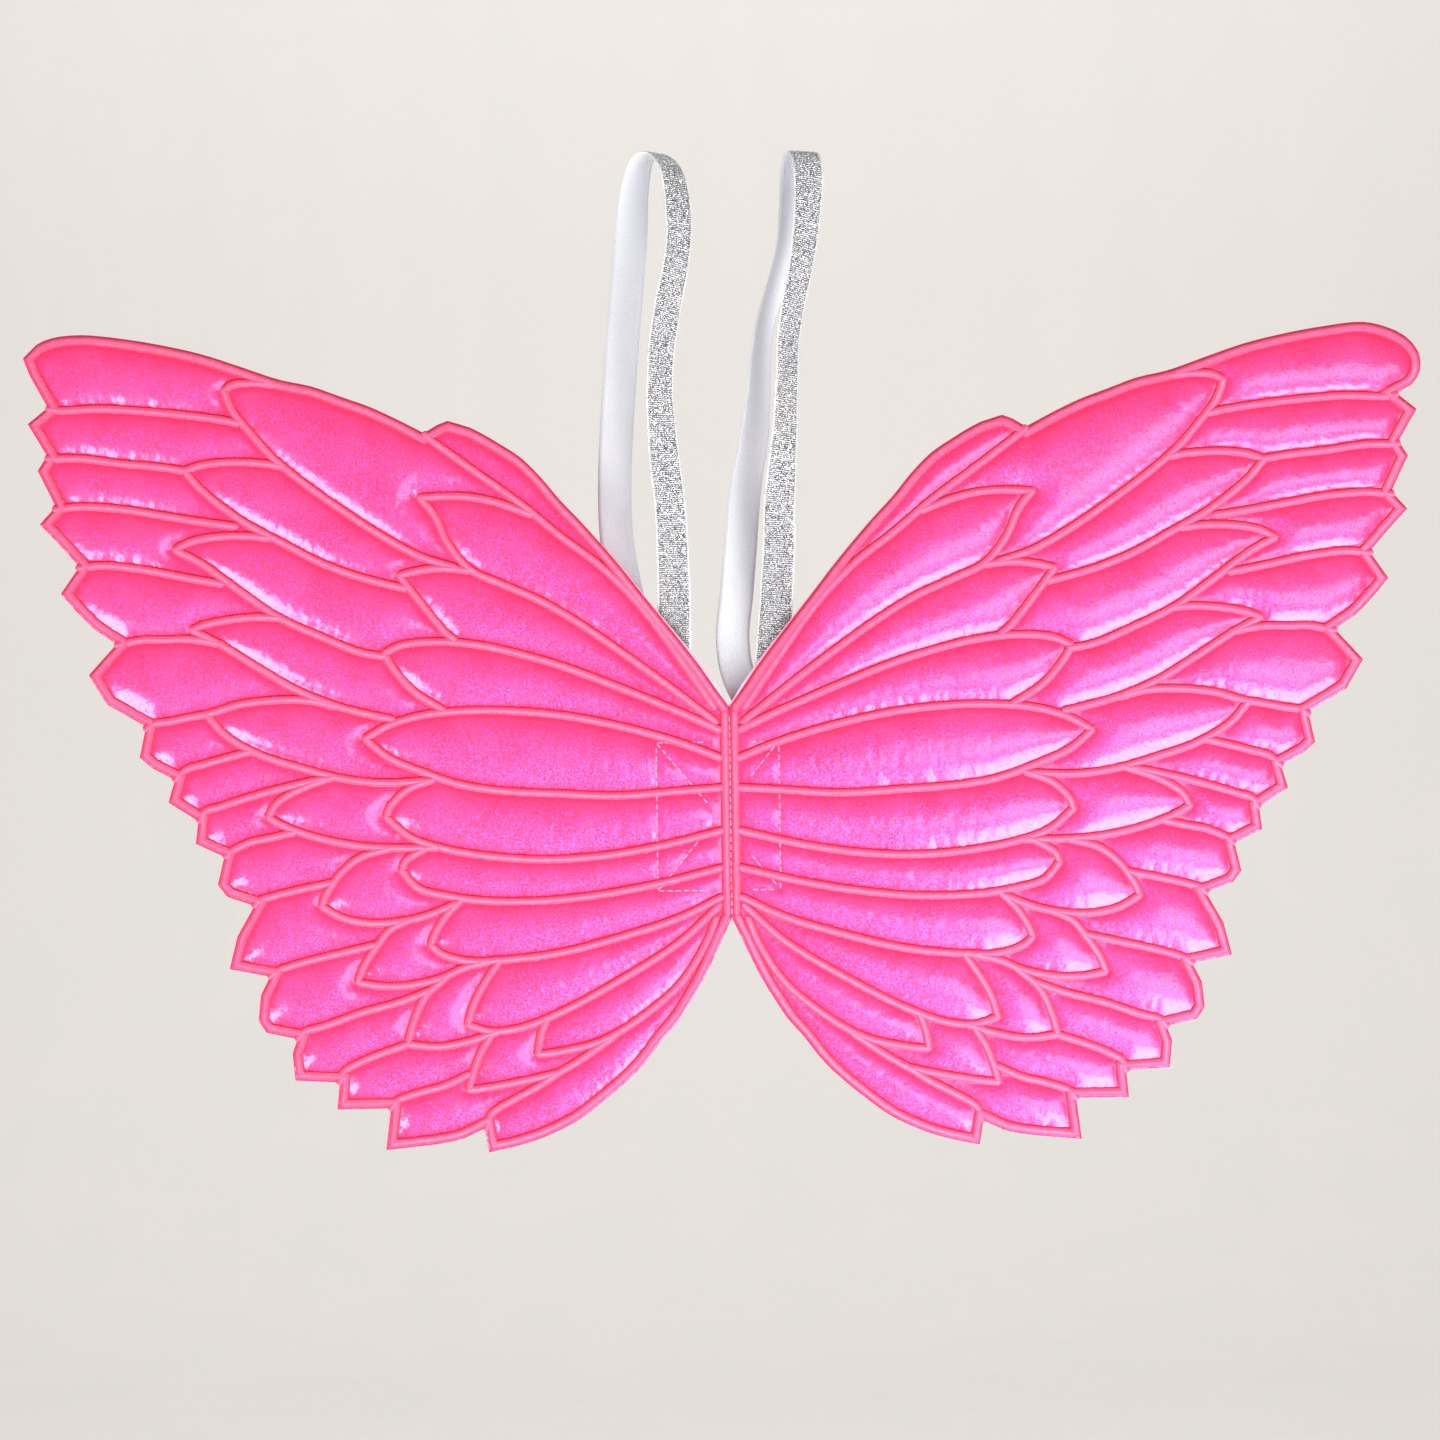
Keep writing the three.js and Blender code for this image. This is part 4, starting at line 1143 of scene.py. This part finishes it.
def softbox(name, place, target, size, power):
    """A rectangular lamp, unseen itself, that points at a target."""
    data = bpy.data.lights.new(name, "AREA")
    data.shape = "RECTANGLE"
    data.size, data.size_y = size
    data.energy = power
    lamp = bpy.data.objects.new(name, data)
    bpy.context.scene.collection.objects.link(lamp)
    lamp.location = place
    lamp.rotation_euler = (Vector(target) - Vector(place)).to_track_quat("-Z", "Y").to_euler()
    lamp.visible_camera = False


def studio():
    """The backdrop, soft light all round, and the lamps whose reflections run along the feathers."""
    backdrop()
    world = bpy.data.worlds.new("studio")
    world.use_nodes = True
    sky = world.node_tree.nodes["Background"]
    sky.inputs["Color"].default_value = (0.95, 0.94, 0.93, 1)
    sky.inputs["Strength"].default_value = 0.42
    bpy.context.scene.world = world
    softbox("low_right", (0.46, -0.46, -0.43), (0.44, -0.3, 0.0), (0.56, 0.62), 15.0)
    softbox("low_left", (-0.56, -0.46, -0.24), (-0.16, 0, 0.06), (0.46, 0.2), 4.6)
    softbox("front_fill", (0.9, -2.4, -0.5), (0, 0, 0.03), (1.4, 1.4), 34.0)
    softbox("backdrop_wash", (0, 0.8, 2.6), (0, 3.2, 0.4), (3.0, 1.5), 72.0)
    bpy.context.scene.view_settings.view_transform = "Standard"


def camera():
    """A long lens in front of the glitter side, a little to the left and leaning slightly."""
    distance, yaw, lean = 1.5, math.radians(1.55), math.radians(0.75)
    target = Vector((-0.0035, -0.003, 0.0357))
    place = target + distance * Vector((-math.sin(yaw), -math.cos(yaw), 0))
    data = bpy.data.cameras.new("camera")
    data.lens, data.sensor_width = 100, 36
    seen = bpy.data.objects.new("camera", data)
    bpy.context.scene.collection.objects.link(seen)
    turned = (target - place).to_track_quat("-Z", "Y")
    seen.rotation_mode = "QUATERNION"
    lean_turn = Vector((0, 1, 0)).rotation_difference(Vector((math.sin(lean), math.cos(lean), 0)))
    seen.rotation_quaternion = turned @ lean_turn
    seen.location = place
    data.clip_start, data.clip_end = 0.05, 30
    bpy.context.scene.camera = seen


for hand in HANDS:
    wing = Wing(hand)
    _, film_tree = film_cover(wing)
    foam_core(wing)
    lining(wing)
    satin_net(wing)
    bobbin_net(wing)
    spine_satin(hand)
    front_stitches(hand, film_tree)
    patch_half(hand)
    strap(hand)
spine_row()
patch_stitches("left_patch_stitches", PATCH_LOW.x, -WING_EDGE, "left_wing", "left_patch_thread")
patch_stitches("right_patch_stitches", WING_EDGE, PATCH_RIGHT, "right_wing", "right_patch_thread")
middle_threads = [f"patch_thread_{place}" for place in ("top", "foot", "cross")]
patch_stitches("middle_patch_stitches", -PATCH_MIDDLE_HALF, PATCH_MIDDLE_HALF, "spine", *middle_threads)
studio()
camera()
